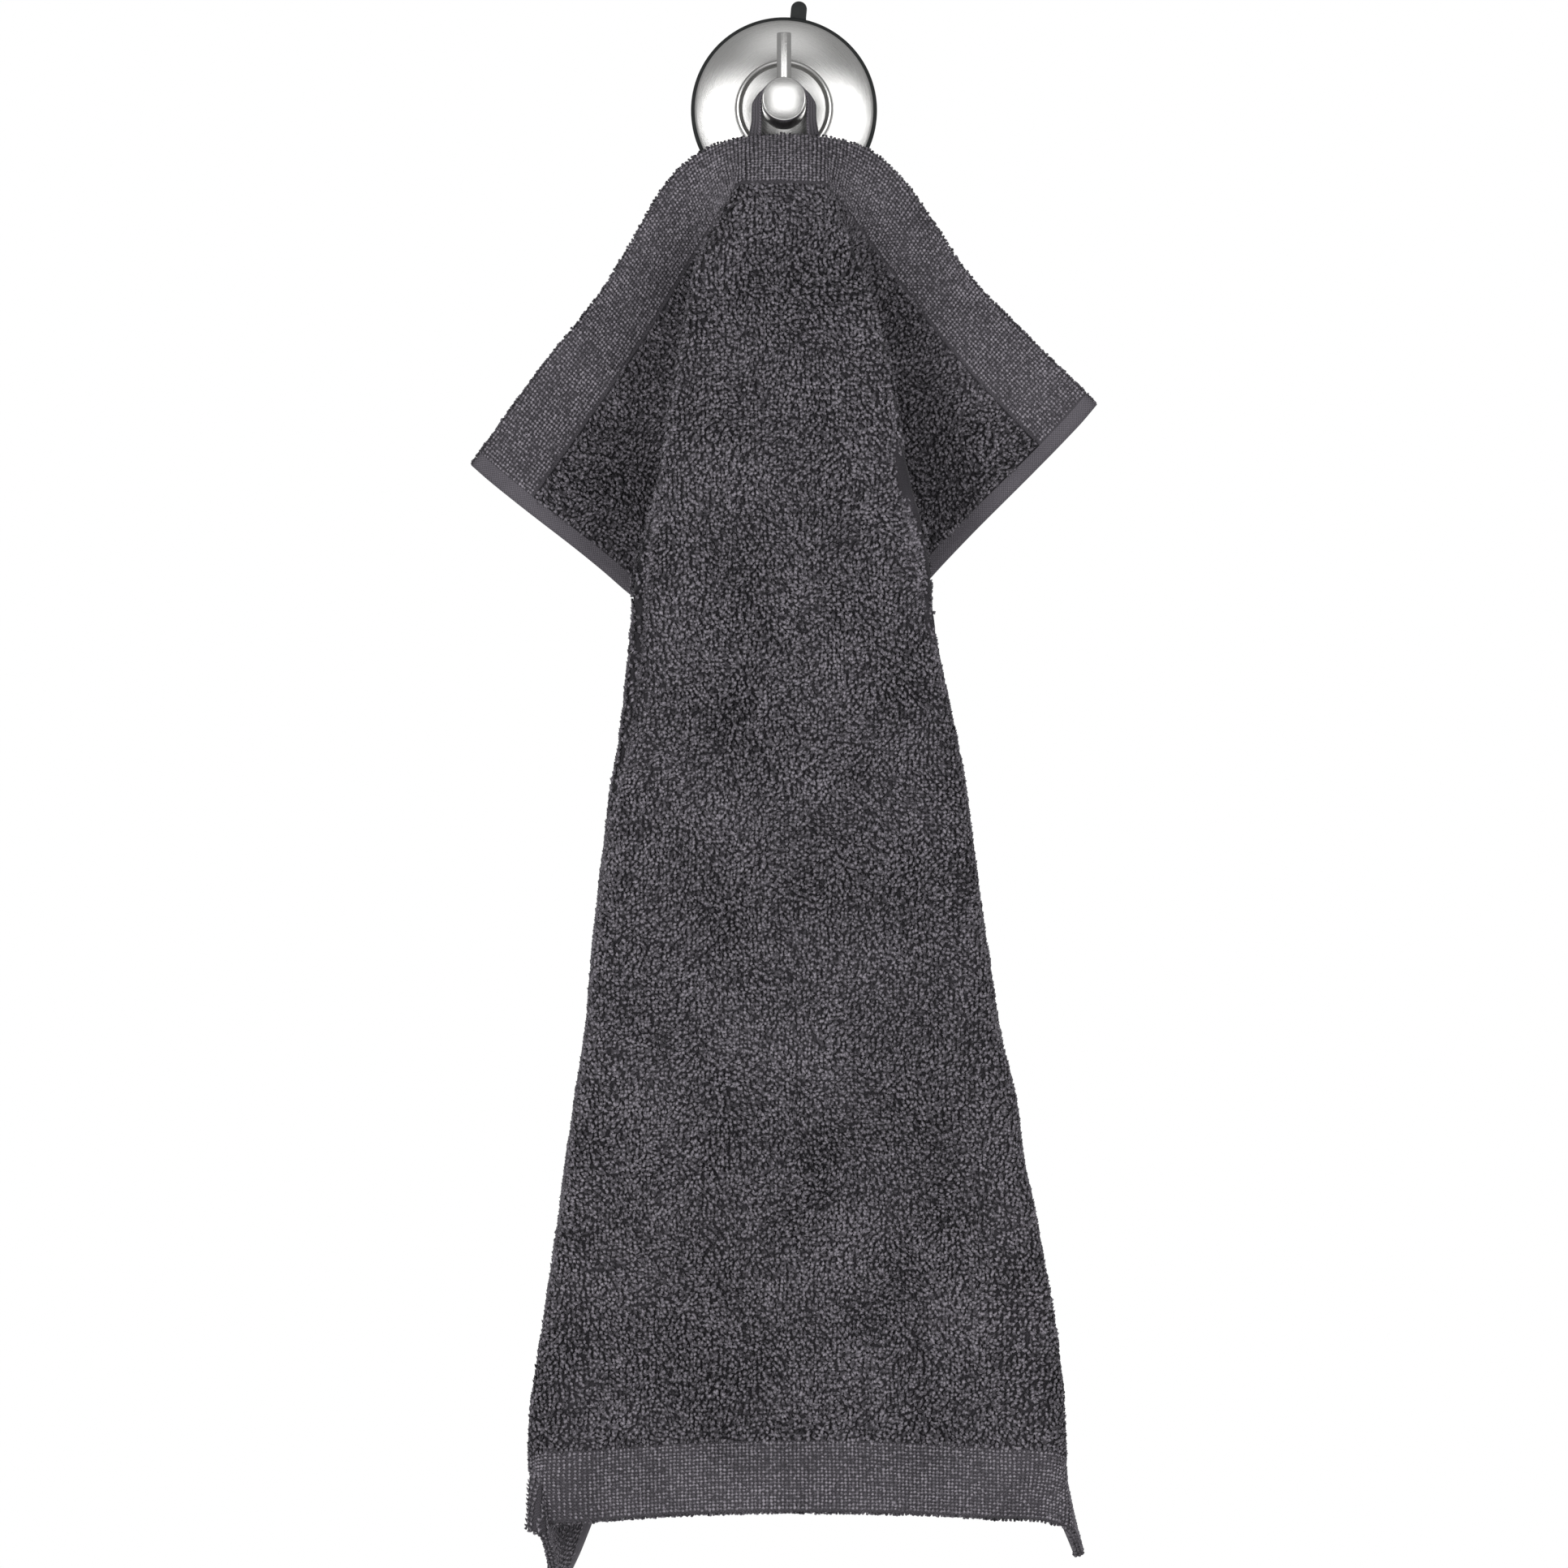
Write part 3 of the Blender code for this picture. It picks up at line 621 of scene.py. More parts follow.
def mesh_of_copies(name, template, centres, widths, across, outwards, tone):
    """Joins one copy of the template for each loop. centres holds, per loop, the middle line at each point."""
    points, faces, depth = template
    side = across[:, None] * (points[:, 0, None] * widths[:, None, None])
    out = outwards[:, None] * (points[:, 1, None] * widths[:, None, None])
    corners = (centres + side + out).reshape(-1, 3)
    loops, size = len(widths), len(points)
    index = (faces[None] + size * np.arange(loops)[:, None, None]).reshape(-1)
    mesh = bpy.data.meshes.new(name)
    mesh.vertices.add(len(corners))
    mesh.vertices.foreach_set("co", corners.astype(np.float32).reshape(-1))
    mesh.loops.add(len(index))
    mesh.loops.foreach_set("vertex_index", index.astype(np.int32))
    mesh.polygons.add(len(index) // 3)
    mesh.polygons.foreach_set("loop_start", np.arange(0, len(index), 3, dtype=np.int32))
    mesh.update(calc_edges=True)
    mesh.shade_smooth()
    for label, values in (("tone", np.repeat(tone, size)), ("depth", np.tile(depth, loops))):
        attribute = mesh.attributes.new(label, "FLOAT", "POINT")
        attribute.data.foreach_set("value", values.astype(np.float32))
    return show(name, mesh)


def unit(vectors):
    return vectors / np.linalg.norm(vectors, axis=-1, keepdims=True)


def half_thickness(threads):
    in_hem = (threads < END_HEM) | (threads > TOWEL_LENGTH - END_HEM)
    return THICKEST / 2 * np.where(in_hem, END_HEM_SHARE, GROUND_SHARE)


def plant(name, template, wefts, threads, face, seed, height, lean, width, stretch, wander, shake):
    """
    A piece of pile. face is -1 for the front of the cloth and 1 for its back. wander turns whole patches of
    loops, shake each one by itself, and stretch is how much longer a bend is than wide.
    """
    random = np.random.default_rng(seed)
    count = len(wefts)
    root = on_sheet(wefts, threads)
    normal = unit(on_sheet(wefts, threads, back_normals)) * face
    down = unit(on_sheet(wefts, threads + LATTICE_STEP) - on_sheet(wefts, threads - LATTICE_STEP))
    down = unit(down - normal * (down * normal).sum(-1, keepdims=True))
    aside = np.cross(normal, down)
    wide, narrow = (soft_noise(wefts, threads, cell, seed + k + 1) for k, cell in enumerate(TURN_CELLS))
    turn = wander * (wide + 0.8 * narrow)
    turn = turn + shake * random.normal(0, 1, count)
    way = np.cos(turn)[:, None] * down + np.sin(turn)[:, None] * aside
    wide, narrow = (soft_noise(wefts, threads, cell, seed + k + 3) for k, cell in enumerate(PATCH_CELLS))
    patch = 0.5 * wide + 0.7 * narrow
    reach = lean * (1 + PATCH_SWING * patch) * random.uniform(0.6, 1.4, count)
    rise = height * (1 + PATCH_SWING * patch) * random.uniform(0.85, 1.15, count)
    along = template[0][:, 2]
    centres = (
        (root - ROOT_BELOW * normal + half_thickness(threads)[:, None] * normal)[:, None]
        + normal[:, None] * (rise[:, None] * along)[..., None]
        + way[:, None] * (reach[:, None] * along**1.5)[..., None]
    )
    tilt = 0.35 + 0.25 * random.normal(0, 1, count)
    forward = unit(way - tilt[:, None] * normal) * (stretch * random.uniform(0.85, 1.25, count))[:, None]
    tone = 0.5 + PATCH_SWING * patch + 0.12 * random.normal(0, 1, count)
    widths = width * random.uniform(0.85, 1.15, count)
    across = np.cross(normal, way)
    return mesh_of_copies(name, template, centres, widths, across, forward, np.clip(tone, 0, 1))


print("cloth under the loops, mm:", 2000 * half_thickness(np.array([TOWEL_LENGTH / 2]))[0])

# %% [markdown]
# ## Where the loops stand
#
# The body has rows of long loops, the two end hems short tight ones, and the plain side hems none. The back of the
# cloth, half hidden in the folds, gets a coarser pile, and none inside the sharp folds, where long loops would come
# out at the other side. The front's loops are laid out once and then shared among four meshes, so that no seam shows
# between them and each stays small enough.

# %% Lay out the rows of loops
FRONT_PITCH = 0.00162
BACK_PITCH = 0.00320
HEM_PITCH = (0.00166, 0.00150)
HEM_BACK_PITCH = (0.0022, 0.0021)
SEAM_BARE = 0.0001
FOLD_BARE = 0.85  # cosine of the turn across a fold
FOLD_REACH = 0.004
FRONT_PARTS = 4
BODY_JITTER, HEM_JITTER = 0.30, 0.10
FRONT_PILE = dict(face=-1, seed=21, height=0.0017, lean=0.0010, width=0.00178, stretch=1.55, wander=1.5, shake=0.70)
BACK_PILE = dict(face=1, seed=31, height=0.0018, lean=0.0014, width=0.0038, stretch=1.3, wander=1.5, shake=0.80)
HEM_PILE = dict(seed=41, height=0.0011, lean=0.0004, stretch=1.0, wander=0.25, shake=0.12)


def rows_of_loops(first, last, pitch, jitter, seed):
    """Wefts and threads of the loops between two threads, in shaken rows."""
    across, along = pitch
    left, right = -LOOP_TO_LEFT + SIDE_HEM, LOOP_TO_RIGHT - SIDE_HEM
    columns = int((right - left) / across)
    rows = max(1, int((last - first) / along))
    u, v = np.meshgrid(left + (np.arange(columns) + 0.5) * across, first + (np.arange(rows) + 0.5) * along)
    random = np.random.default_rng(seed)
    u = u + jitter * across * random.uniform(-1, 1, u.shape)
    v = v + jitter * along * random.uniform(-1, 1, v.shape)
    return u.reshape(-1), v.reshape(-1)


BODY_FIRST, BODY_LAST = END_HEM + SEAM_BARE, TOWEL_LENGTH - END_HEM - SEAM_BARE
pile_pieces = []
front_u, front_v = rows_of_loops(BODY_FIRST, BODY_LAST, (FRONT_PITCH, FRONT_PITCH), BODY_JITTER, 100)
for part, own in enumerate(np.array_split(np.arange(len(front_u)), FRONT_PARTS), 1):
    pile_pieces.append(plant(f"towel_front_pile_{part}", FRONT_LOOP, front_u[own], front_v[own], **FRONT_PILE))
u, v = rows_of_loops(BODY_FIRST, BODY_LAST, (BACK_PITCH, BACK_PITCH), BODY_JITTER, 200)
turning = (on_sheet(u - FOLD_REACH, v, back_normals) * on_sheet(u + FOLD_REACH, v, back_normals)).sum(-1)
u, v = u[turning > FOLD_BARE], v[turning > FOLD_BARE]
pile_pieces.append(plant("towel_back_pile", BACK_LOOP, u, v, **BACK_PILE))
for name, first, last in (
    ("towel_top_hem_pile", 0.0, END_HEM - SEAM_BARE),
    ("towel_bottom_hem_pile", TOWEL_LENGTH - END_HEM + SEAM_BARE, TOWEL_LENGTH),
):
    for face, label, template, pitch, width in (
        (-1, "front", FRONT_LOOP, HEM_PITCH, 0.0018), (1, "back", BACK_LOOP, HEM_BACK_PITCH, 0.0026)
    ):
        u, v = rows_of_loops(first, last, pitch, HEM_JITTER, 300)
        pile_pieces.append(plant(f"{name}_{label}", template, u, v, face=face, width=width, **HEM_PILE))
for piece in pile_pieces:
    print(piece.name, len(piece.data.polygons))

# %% [markdown]
# ## The fringe of loops on the two folded ends
#
# At the top and the bottom the cloth is folded over, so its loops point straight out of the edge and show one by
# one against the white. Three close rows of them stand on the fold, all leaning a little to one side.

# %% Fringe the folded ends
FRINGE_PITCH = 0.00170
FRINGE_LENGTH = 0.0021
FRINGE_WIDTH = 0.0015
FRINGE_ROW = 0.0010
FRINGE_ROOT = 0.0009
FRINGE_MARGIN = 0.001


def fringe(name, thread, outward, seed):
    random = np.random.default_rng(seed)
    left, right = -LOOP_TO_LEFT + FRINGE_MARGIN, LOOP_TO_RIGHT - FRINGE_MARGIN
    one_row = np.arange(left, right, FRINGE_PITCH)
    wefts = np.concatenate([one_row + FRINGE_PITCH * shift for shift in (0.0, 0.33, 0.66)])
    depth = np.repeat([-FRINGE_ROW, 0.0, FRINGE_ROW], len(one_row))
    wefts = np.clip(wefts + 0.0003 * random.uniform(-1, 1, len(wefts)), left, right)
    threads = np.full(len(wefts), thread)
    normal = unit(on_sheet(wefts, threads, back_normals))
    out = outward * unit(on_sheet(wefts, threads + LATTICE_STEP) - on_sheet(wefts, threads - LATTICE_STEP))
    aside = np.cross(normal, out)
    slant = 0.35 * soft_noise(wefts, threads, 0.02, seed) + 0.22 * random.normal(0, 1, len(wefts)) - 0.25
    tilt = depth / FRINGE_ROW * 0.35 + 0.12 * random.normal(0, 1, len(wefts))
    way = unit(out + np.sin(slant)[:, None] * aside + tilt[:, None] * normal)
    length = FRINGE_LENGTH * random.uniform(0.75, 1.15, len(wefts))
    root = on_sheet(wefts, threads) + depth[:, None] * normal - FRINGE_ROOT * out
    centres = root[:, None] + way[:, None] * (length[:, None] * FRONT_LOOP[0][:, 2])[..., None]
    spin = random.uniform(-0.7, 0.7, len(wefts))
    across = unit(np.cos(spin)[:, None] * aside + np.sin(spin)[:, None] * normal)
    across = unit(across - way * (across * way).sum(-1, keepdims=True))
    outwards = np.cross(way, across)
    tone = np.clip(0.5 + 0.16 * random.normal(0, 1, len(wefts)), 0, 1)
    return mesh_of_copies(name, FRONT_LOOP, centres, np.full(len(wefts), FRINGE_WIDTH), across, outwards, tone)


pile_pieces.append(fringe("towel_top_fringe", 0.0, -1, 51))
pile_pieces.append(fringe("towel_bottom_fringe", TOWEL_LENGTH, 1, 52))
print("all loops together:", sum(len(p.data.polygons) for p in pile_pieces), "triangles")

# %% [markdown]
# ## The tape that it hangs by
#
# A knitted tape, 10 mm wide, is sewn flat behind the hem. It rises on both sides of the peg, turns nearly on edge
# and passes over it. The stations follow the solid's, but beside the peg the tape leans a little, so that its face
# shows from the front as in the photograph. The stitches are small enough for the material, and its ribs are in the
# mesh.

# %% Route the tape over the peg
PEG_RADIUS = 0.0095
SEAT_GAP = 0.0003
TAPE_WIDTH = 0.0100
TAPE_THICKNESS = 0.0010
TAPE_SEWN_AT = 0.0095
TAPE_ON_PEG = 0.0250
HEM_BACK = 0.0020
TAPE_SEWN = (  # thread, away from the back of the hem, turn (0 lies flat on the hem, 1 is edge on)
    (0.020, 0.0004, 0.0),
    (0.010, 0.0024, 0.15),
)
TAPE_RISING = (  # out, front, down, turn
    (0.0130, 0.0215, 0.0150, 0.68),
    (0.0120, 0.0240, 0.0060, 0.76),
)
TAPE_TILT = math.radians(20)
TILT_ENDS = math.radians(45)
TAPE_STEPS = 8
TAPE_COLUMNS = 12
TAPE_RIBS = 3
RIB_DEPTH = 0.00016


def tape_stations():
    line, width = [], []
    for at_thread, away, turn in TAPE_SEWN:
        at = (np.array([TAPE_SEWN_AT]), np.array([at_thread]))
        back = on_sheet(*at, back_normals)[0]
        weft_way = unit(on_sheet(at[0] + 0.002, at[1]) - on_sheet(*at))[0]
        line.append(on_sheet(*at)[0] + back * (HEM_BACK + SEAT_GAP + TAPE_THICKNESS / 2 + away))
        width.append(math.cos(turn * math.pi / 2) * weft_way + math.sin(turn * math.pi / 2) * np.array([0, 1.0, 0]))
    for out, front, down, turn in TAPE_RISING:
        line.append(np.array([out, -front, -down]))
        width.append(np.array([math.cos(turn * math.pi / 2), math.sin(turn * math.pi / 2), 0]))
    for degrees in range(0, 91, 15):
        angle = math.radians(degrees)
        tilt = TAPE_TILT * max(0.0, 1 - angle / TILT_ENDS)
        radius = PEG_RADIUS + SEAT_GAP + TAPE_THICKNESS / 2 + math.sin(tilt) * TAPE_WIDTH / 2
        away = np.array([math.cos(angle), 0, math.sin(angle)])
        line.append(radius * away + np.array([0, -TAPE_ON_PEG, 0]))
        width.append(math.cos(tilt) * np.array([0, 1.0, 0]) + math.sin(tilt) * away)
    mirror = np.array([-1.0, 1.0, 1.0])
    line += [place * mirror for place in line[-2::-1]]
    width += [way * mirror * (1 if way[1] > 0 else -1) for way in width[-2::-1]]
    return np.array(line), unit(np.array(width))


stations, station_widths = tape_stations()
station_keys = np.arange(len(stations))
steps = np.linspace(0, len(stations) - 1, TAPE_STEPS * (len(stations) - 1) + 1)
tape_line = np.stack([smooth_through(station_keys, stations[:, k], steps) for k in range(3)], -1)
tape_ways = unit(np.stack([np.interp(steps, station_keys, station_widths[:, k]) for k in range(3)], -1))
tape_along = np.concatenate([[0], np.cumsum(np.linalg.norm(np.diff(tape_line, axis=0), axis=1))])
print("length of the tape, mm:", round(1000 * tape_along[-1]))

# %% Knit the tape
tape_mesh = bpy.data.meshes.new("tape")
bm = bmesh.new()
bmesh.ops.create_grid(bm, x_segments=TAPE_COLUMNS, y_segments=len(tape_line) - 1, size=1)
bm.verts.ensure_lookup_table()
tape_offsets = np.linspace(-0.5, 0.5, TAPE_COLUMNS + 1) * TAPE_WIDTH
tape_faces_out = unit(np.cross(np.gradient(tape_line, axis=0), tape_ways))
rib = RIB_DEPTH * np.cos(np.linspace(0, 2 * math.pi * TAPE_RIBS, TAPE_COLUMNS + 1))
tape_map = bm.loops.layers.uv.new("weave")
tape_uv = {}
for row, (place, way, out) in enumerate(zip(tape_line, tape_ways, tape_faces_out)):
    for column, offset in enumerate(tape_offsets):
        vertex = bm.verts[(TAPE_COLUMNS + 1) * row + column]
        vertex.co = place + offset * way + rib[column] * out
        tape_uv[vertex.index] = (offset + TAPE_WIDTH / 2, tape_along[row])
for face in bm.faces:
    face.smooth = True
    for corner in face.loops:
        corner[tape_map].uv = tape_uv[corner.vert.index]
bm.to_mesh(tape_mesh)
bm.free()
tape = show("towel_tape_loop", tape_mesh)
tape_solidify = tape.modifiers.new("tape thickness", "SOLIDIFY")
tape_solidify.thickness = TAPE_THICKNESS
tape_solidify.offset = 0
print("faces of the tape:", len(tape_mesh.polygons))

# %% [markdown]
# ## The hook
#
# The disc, the peg and the cup are turned pieces: half of their outline is drawn once as a few points, and a spin
# around the hook's axis makes the rest. The profiles repeat the solids' own, with rounder edges, and the flat inside
# the disc's ring slopes by a degree or two, as the pressed steel does. The columns are the radius and the distance
# in front of the wall.

# %% Turn the steel and rubber pieces
CUP_RADIUS = 0.0409
CUP_THICKNESS = 0.0046
DISC_RADIUS = 0.0394
DISC_BACK = 0.0049
DISC_FRONT = 0.0122
RING_RADIUS = 0.0203
PEG_TIP = 0.0450
PIN_RADIUS = 0.0031
PIN_TOP = 0.0292
PIN_FRONT = 0.0386
SHARP_FROM = math.radians(35)


def smooth_piece(name, bm):
    """Ends a bmesh: its faces are smooth but its corners stay sharp, and it becomes an object."""
    for face in bm.faces:
        face.smooth = True
    mesh = bpy.data.meshes.new(name)
    bm.to_mesh(mesh)
    bm.free()
    mesh.set_sharp_from_angle(angle=SHARP_FROM)
    return show(name, mesh)


def turned(name, profile, steps, rounding, rounded):
    """Spins a profile about the hook's axis, and rounds the edges whose profile points are listed."""
    bm = bmesh.new()
    line = [bm.verts.new((radius, -front, 0)) for radius, front in profile]
    edges = [bm.edges.new(pair) for pair in zip(line, line[1:])]
    rings = [(profile[k][0], -profile[k][1]) for k in rounded]
    bmesh.ops.spin(
        bm, geom=line + edges, cent=(0, 0, 0), axis=(0, 1, 0), angle=2 * math.pi, steps=steps, use_merge=True
    )
    bmesh.ops.remove_doubles(bm, verts=bm.verts, dist=1e-6)
    bmesh.ops.recalc_face_normals(bm, faces=bm.faces)
    for radius, depth in rings:
        ring = [
            e for e in bm.edges
            if all(abs(math.hypot(v.co.x, v.co.z) - radius) < 1e-5 and abs(v.co.y - depth) < 1e-5 for v in e.verts)
        ]
        bmesh.ops.bevel(bm, geom=ring, offset=rounding, segments=3, profile=0.5, affect="EDGES", material=-1)
    return smooth_piece(name, bm)


disc_profile = (
    (0.0, DISC_FRONT),
    (PEG_RADIUS, DISC_FRONT),
    (RING_RADIUS - 0.0026, DISC_FRONT - 0.0018),
    (RING_RADIUS - 0.0020, DISC_FRONT - 0.0019),
    (RING_RADIUS - 0.0012, DISC_FRONT - 0.0008),
    (RING_RADIUS - 0.0004, DISC_FRONT - 0.0001),
    (RING_RADIUS + 0.0003, DISC_FRONT - 0.0003),
    (RING_RADIUS + 0.0010, DISC_FRONT - 0.0013),
    (RING_RADIUS + 0.0017, DISC_FRONT - 0.0014),
    (DISC_RADIUS - 0.0012, DISC_BACK + 0.0016),
    (DISC_RADIUS - 0.0003, DISC_BACK + 0.0012),
    (DISC_RADIUS, DISC_BACK + 0.0006),
    (DISC_RADIUS, DISC_BACK),
    (0.0, DISC_BACK),
)
disc = turned("hook_cover_disc", disc_profile, 160, 0.0001, ())
peg_profile = (
    (0.0, PEG_TIP),
    (PEG_RADIUS, PEG_TIP),
    (PEG_RADIUS, DISC_FRONT + SEAT_GAP),
    (0.0, DISC_FRONT + SEAT_GAP),
)
peg = turned("hook_peg", peg_profile, 96, 0.0006, (1,))
cup_profile = (
    (0.0, CUP_THICKNESS),
    (CUP_RADIUS, CUP_THICKNESS),
    (CUP_RADIUS, 0.0),
    (0.0, 0.0),
)
cup = turned("hook_rubber_cup", cup_profile, 128, 0.0010, (1, 2))
print("faces: disc", len(disc.data.polygons), "peg", len(peg.data.polygons), "cup", len(cup.data.polygons))

# %% [markdown]
# ## The pin and the pull tab
#
# The pin is a short rod that stands on the peg. The tab is a flap of the cup's rubber: a cube whose two upper edges
# are rounded until its end is a half circle, leaned by five degrees.

# %% Stand the pin and mould the tab
TAB_WIDTH = 0.0070
TAB_THICKNESS = 0.0022
TAB_TOP = 0.0480
TAB_PLACE = 0.0062
TAB_LEAN = math.radians(5)
TAB_BURIED = 0.008
TAB_CORNER, TAB_RIM = 0.0034, 0.0004
PIN_EDGE = 0.00035

bm = bmesh.new()
pin_base = PEG_RADIUS + SEAT_GAP
bmesh.ops.create_cone(
    bm, cap_ends=True, segments=64, radius1=PIN_RADIUS, radius2=PIN_RADIUS, depth=PIN_TOP - pin_base,
    matrix=Matrix.Translation((0, -PIN_FRONT, (PIN_TOP + pin_base) / 2)),
)
top_ring = [e for e in bm.edges if all(v.co.z > PIN_TOP - 1e-5 for v in e.verts)]
bmesh.ops.bevel(bm, geom=top_ring, offset=PIN_EDGE, segments=3, profile=0.5, affect="EDGES", material=-1)
pin = smooth_piece("hook_pin", bm)

bm = bmesh.new()
bmesh.ops.create_cube(bm, size=1)
tab_length = TAB_TOP - CUP_RADIUS + TAB_BURIED
bmesh.ops.scale(bm, vec=(TAB_WIDTH, TAB_THICKNESS, tab_length), verts=bm.verts)
deep = [e for e in bm.edges if abs(e.verts[0].co.y - e.verts[1].co.y) > TAB_THICKNESS / 2]
upper = [e for e in deep if e.verts[0].co.z > 0]
bmesh.ops.bevel(bm, geom=upper, offset=TAB_CORNER, segments=9, profile=0.5, affect="EDGES", material=-1)
rims = [e for e in bm.edges if e.calc_face_angle(0) > 1.0]
bmesh.ops.bevel(bm, geom=rims, offset=TAB_RIM, segments=2, profile=0.5, affect="EDGES", material=-1)
lean = Matrix.Rotation(TAB_LEAN, 4, "Y")
place = Matrix.Translation((TAB_PLACE, -CUP_THICKNESS / 2, TAB_TOP - tab_length / 2))
bm.transform(place @ lean)
tab = smooth_piece("hook_pull_tab", bm)
print("faces: pin", len(pin.data.polygons), "tab", len(tab.data.polygons))

# %% [markdown]
# ## Nodes for all the materials
#
# The same few steps come back in every material: a sum, a noise, a colour ramp, a range and a bump. Each is a small
# helper that adds its node to a tree and gives back the output, so that a material reads like a recipe. Places come
# from Object coordinates or from the piece's own map, so nothing slides when the camera moves.

# %% Helpers for nodes
def new_group(name, inputs, outputs):
    group = bpy.data.node_groups.new(name, "ShaderNodeTree")
    for label in inputs:
        group.interface.new_socket(label, in_out="INPUT", socket_type="NodeSocketFloat")
    for label in outputs:
        kind = "NodeSocketColor" if label == "Color" else "NodeSocketFloat"
        group.interface.new_socket(label, in_out="OUTPUT", socket_type=kind)
    given = group.nodes.new("NodeGroupInput").outputs
    return group, given, group.nodes.new("NodeGroupOutput").inputs


def add_node(tree, kind, **settings):
    node = tree.nodes.new(kind)
    for key, value in settings.items():
        setattr(node, key, value)
    return node


def math_node(tree, operation, first, second=None):
    node = add_node(tree, "ShaderNodeMath", operation=operation)
    for socket, value in zip(node.inputs, (first, second)):
        if value is None:
            continue
        if isinstance(value, (int, float)):
            socket.default_value = value
        else:
            tree.links.new(value, socket)
    return node.outputs[0]


def wave(tree, value, length, operation="SINE"):
    return math_node(tree, operation, math_node(tree, "MULTIPLY", value, 2 * math.pi / length))


def noise(tree, place, scale, detail=2.0):
    node = add_node(tree, "ShaderNodeTexNoise")
    node.inputs["Scale"].default_value = scale
    node.inputs["Detail"].default_value = detail
    tree.links.new(place, node.inputs["Vector"])
    return node.outputs["Fac"]


def colour_ramp(tree, value, stops):
    """Colours along a value, from (position, colour) pairs. A single number stands for a grey."""
    node = add_node(tree, "ShaderNodeValToRGB")
    elements = node.color_ramp.elements
    elements.remove(elements[1])
    for number, (position, colour) in enumerate(stops):
        stop = elements[0] if number == 0 else elements.new(position)
        red, green, blue = colour if isinstance(colour, tuple) else (colour, colour, colour)
        stop.position, stop.color = position, (red, green, blue, 1)
    tree.links.new(value, node.inputs["Fac"])
    return node.outputs["Color"]


def spread(tree, value, low, high):
    """Stretches a value that runs from 0 to 1 over another range."""
    node = add_node(tree, "ShaderNodeMapRange")
    node.inputs["To Min"].default_value = low
    node.inputs["To Max"].default_value = high
    tree.links.new(value, node.inputs["Value"])
    return node.outputs["Result"]


def bump_from(tree, height, shader, strength, distance):
    bump = add_node(tree, "ShaderNodeBump")
    bump.inputs["Strength"].default_value = strength
    bump.inputs["Distance"].default_value = distance
    tree.links.new(height, bump.inputs["Height"])
    tree.links.new(bump.outputs["Normal"], shader.inputs["Normal"])


def use_group(tree, group, **values):
    node = add_node(tree, "ShaderNodeGroup", node_tree=group)
    for label, value in values.items():
        node.inputs[label].default_value = value
    return node


def object_place(tree):
    return add_node(tree, "ShaderNodeTexCoord").outputs["Object"]


def split_place(tree, place):
    node = add_node(tree, "ShaderNodeSeparateXYZ")
    tree.links.new(place, node.inputs["Vector"])
    return node.outputs


def new_material(name, **constants):
    """A material, its tree and its shader. The constants are set on the shader's own sockets."""
    material = bpy.data.materials.new(name)
    material.use_nodes = True
    shader = material.node_tree.nodes["Principled BSDF"]
    for label, value in constants.items():
        shader.inputs[label.replace("_", " ")].default_value = value
    return material, material.node_tree, shader


print("helpers for nodes are ready")

# %% [markdown]
# ## Colour of the yarn
#
# Pile, ground cloth and tape are one dyed yarn, a dark grey with a trace of violet. The first group turns a light
# and a tone into a colour: where painted shade lowers the light, deep in the pile, it is nearly black, at the tips
# it is lightest, and whole patches are a little lighter or darker. A slow noise adds the clouds that washing and
# handling leave. The second group is for the pile only: small cells with a light ring look like the bends of yarn,
# with painted shade in the middle of each ring and in the gaps between the cells, and they are painted darker, as
# shade, with the depth that each loop carries.

# %% Build the yarn groups
# The dark end of this ramp is reached where painted shade lowers the light.
YARN_DARK = (0.009, 0.0085, 0.010)
YARN_MIDDLE = (0.112, 0.104, 0.118)
YARN_LIGHT = (0.240, 0.223, 0.250)
# Painted shade: the ring's dark middle and dark outer part stand for shade inside a loop and between loops, and the
# second ramp darkens the yarn down towards each root.
RING_WITH_PAINTED_SHADE = ((0.0, 0.50), (0.20, 0.95), (0.32, 1.00), (0.46, 0.66), (0.62, 0.32), (0.85, 0.14))
PAINTED_DEPTH_SHADE = ((0.0, 1.05), (0.25, 1.00), (0.5, 0.60), (0.75, 0.30), (1.0, 0.10))
CLOUD_SCALE = 28
LIGHT_SHARE, TONE_SHARE = 0.80, 0.38

yarn, given, result = new_group("dyed yarn", ("Tone", "Light", "Clouds"), ("Color",))
clouds = math_node(yarn, "SUBTRACT", noise(yarn, object_place(yarn), CLOUD_SCALE, 3), 0.5)
clouds = math_node(yarn, "MULTIPLY", clouds, given["Clouds"])
tone_shift = math_node(yarn, "MULTIPLY", math_node(yarn, "SUBTRACT", given["Tone"], 0.5), TONE_SHARE)
level = math_node(yarn, "ADD", math_node(yarn, "MULTIPLY", given["Light"], LIGHT_SHARE), tone_shift)
level = math_node(yarn, "ADD", level, clouds)
yarn.links.new(colour_ramp(yarn, level, ((0.0, YARN_DARK), (0.55, YARN_MIDDLE), (1.0, YARN_LIGHT))), result["Color"])

looped, given, result = new_group(
    "yarn in loops", ("Tone", "Depth", "Lift", "Clouds", "Fineness"), ("Color", "Height")
)
cells = add_node(looped, "ShaderNodeTexVoronoi")
looped.links.new(object_place(looped), cells.inputs["Vector"])
looped.links.new(given["Fineness"], cells.inputs["Scale"])
ring = colour_ramp(looped, cells.outputs["Distance"], RING_WITH_PAINTED_SHADE)
# Painted shade: the ring's light is darkened with each loop's depth.
ring_and_depth_shade = math_node(looped, "MULTIPLY", ring, colour_ramp(looped, given["Depth"], PAINTED_DEPTH_SHADE))
dyed = use_group(looped, yarn)
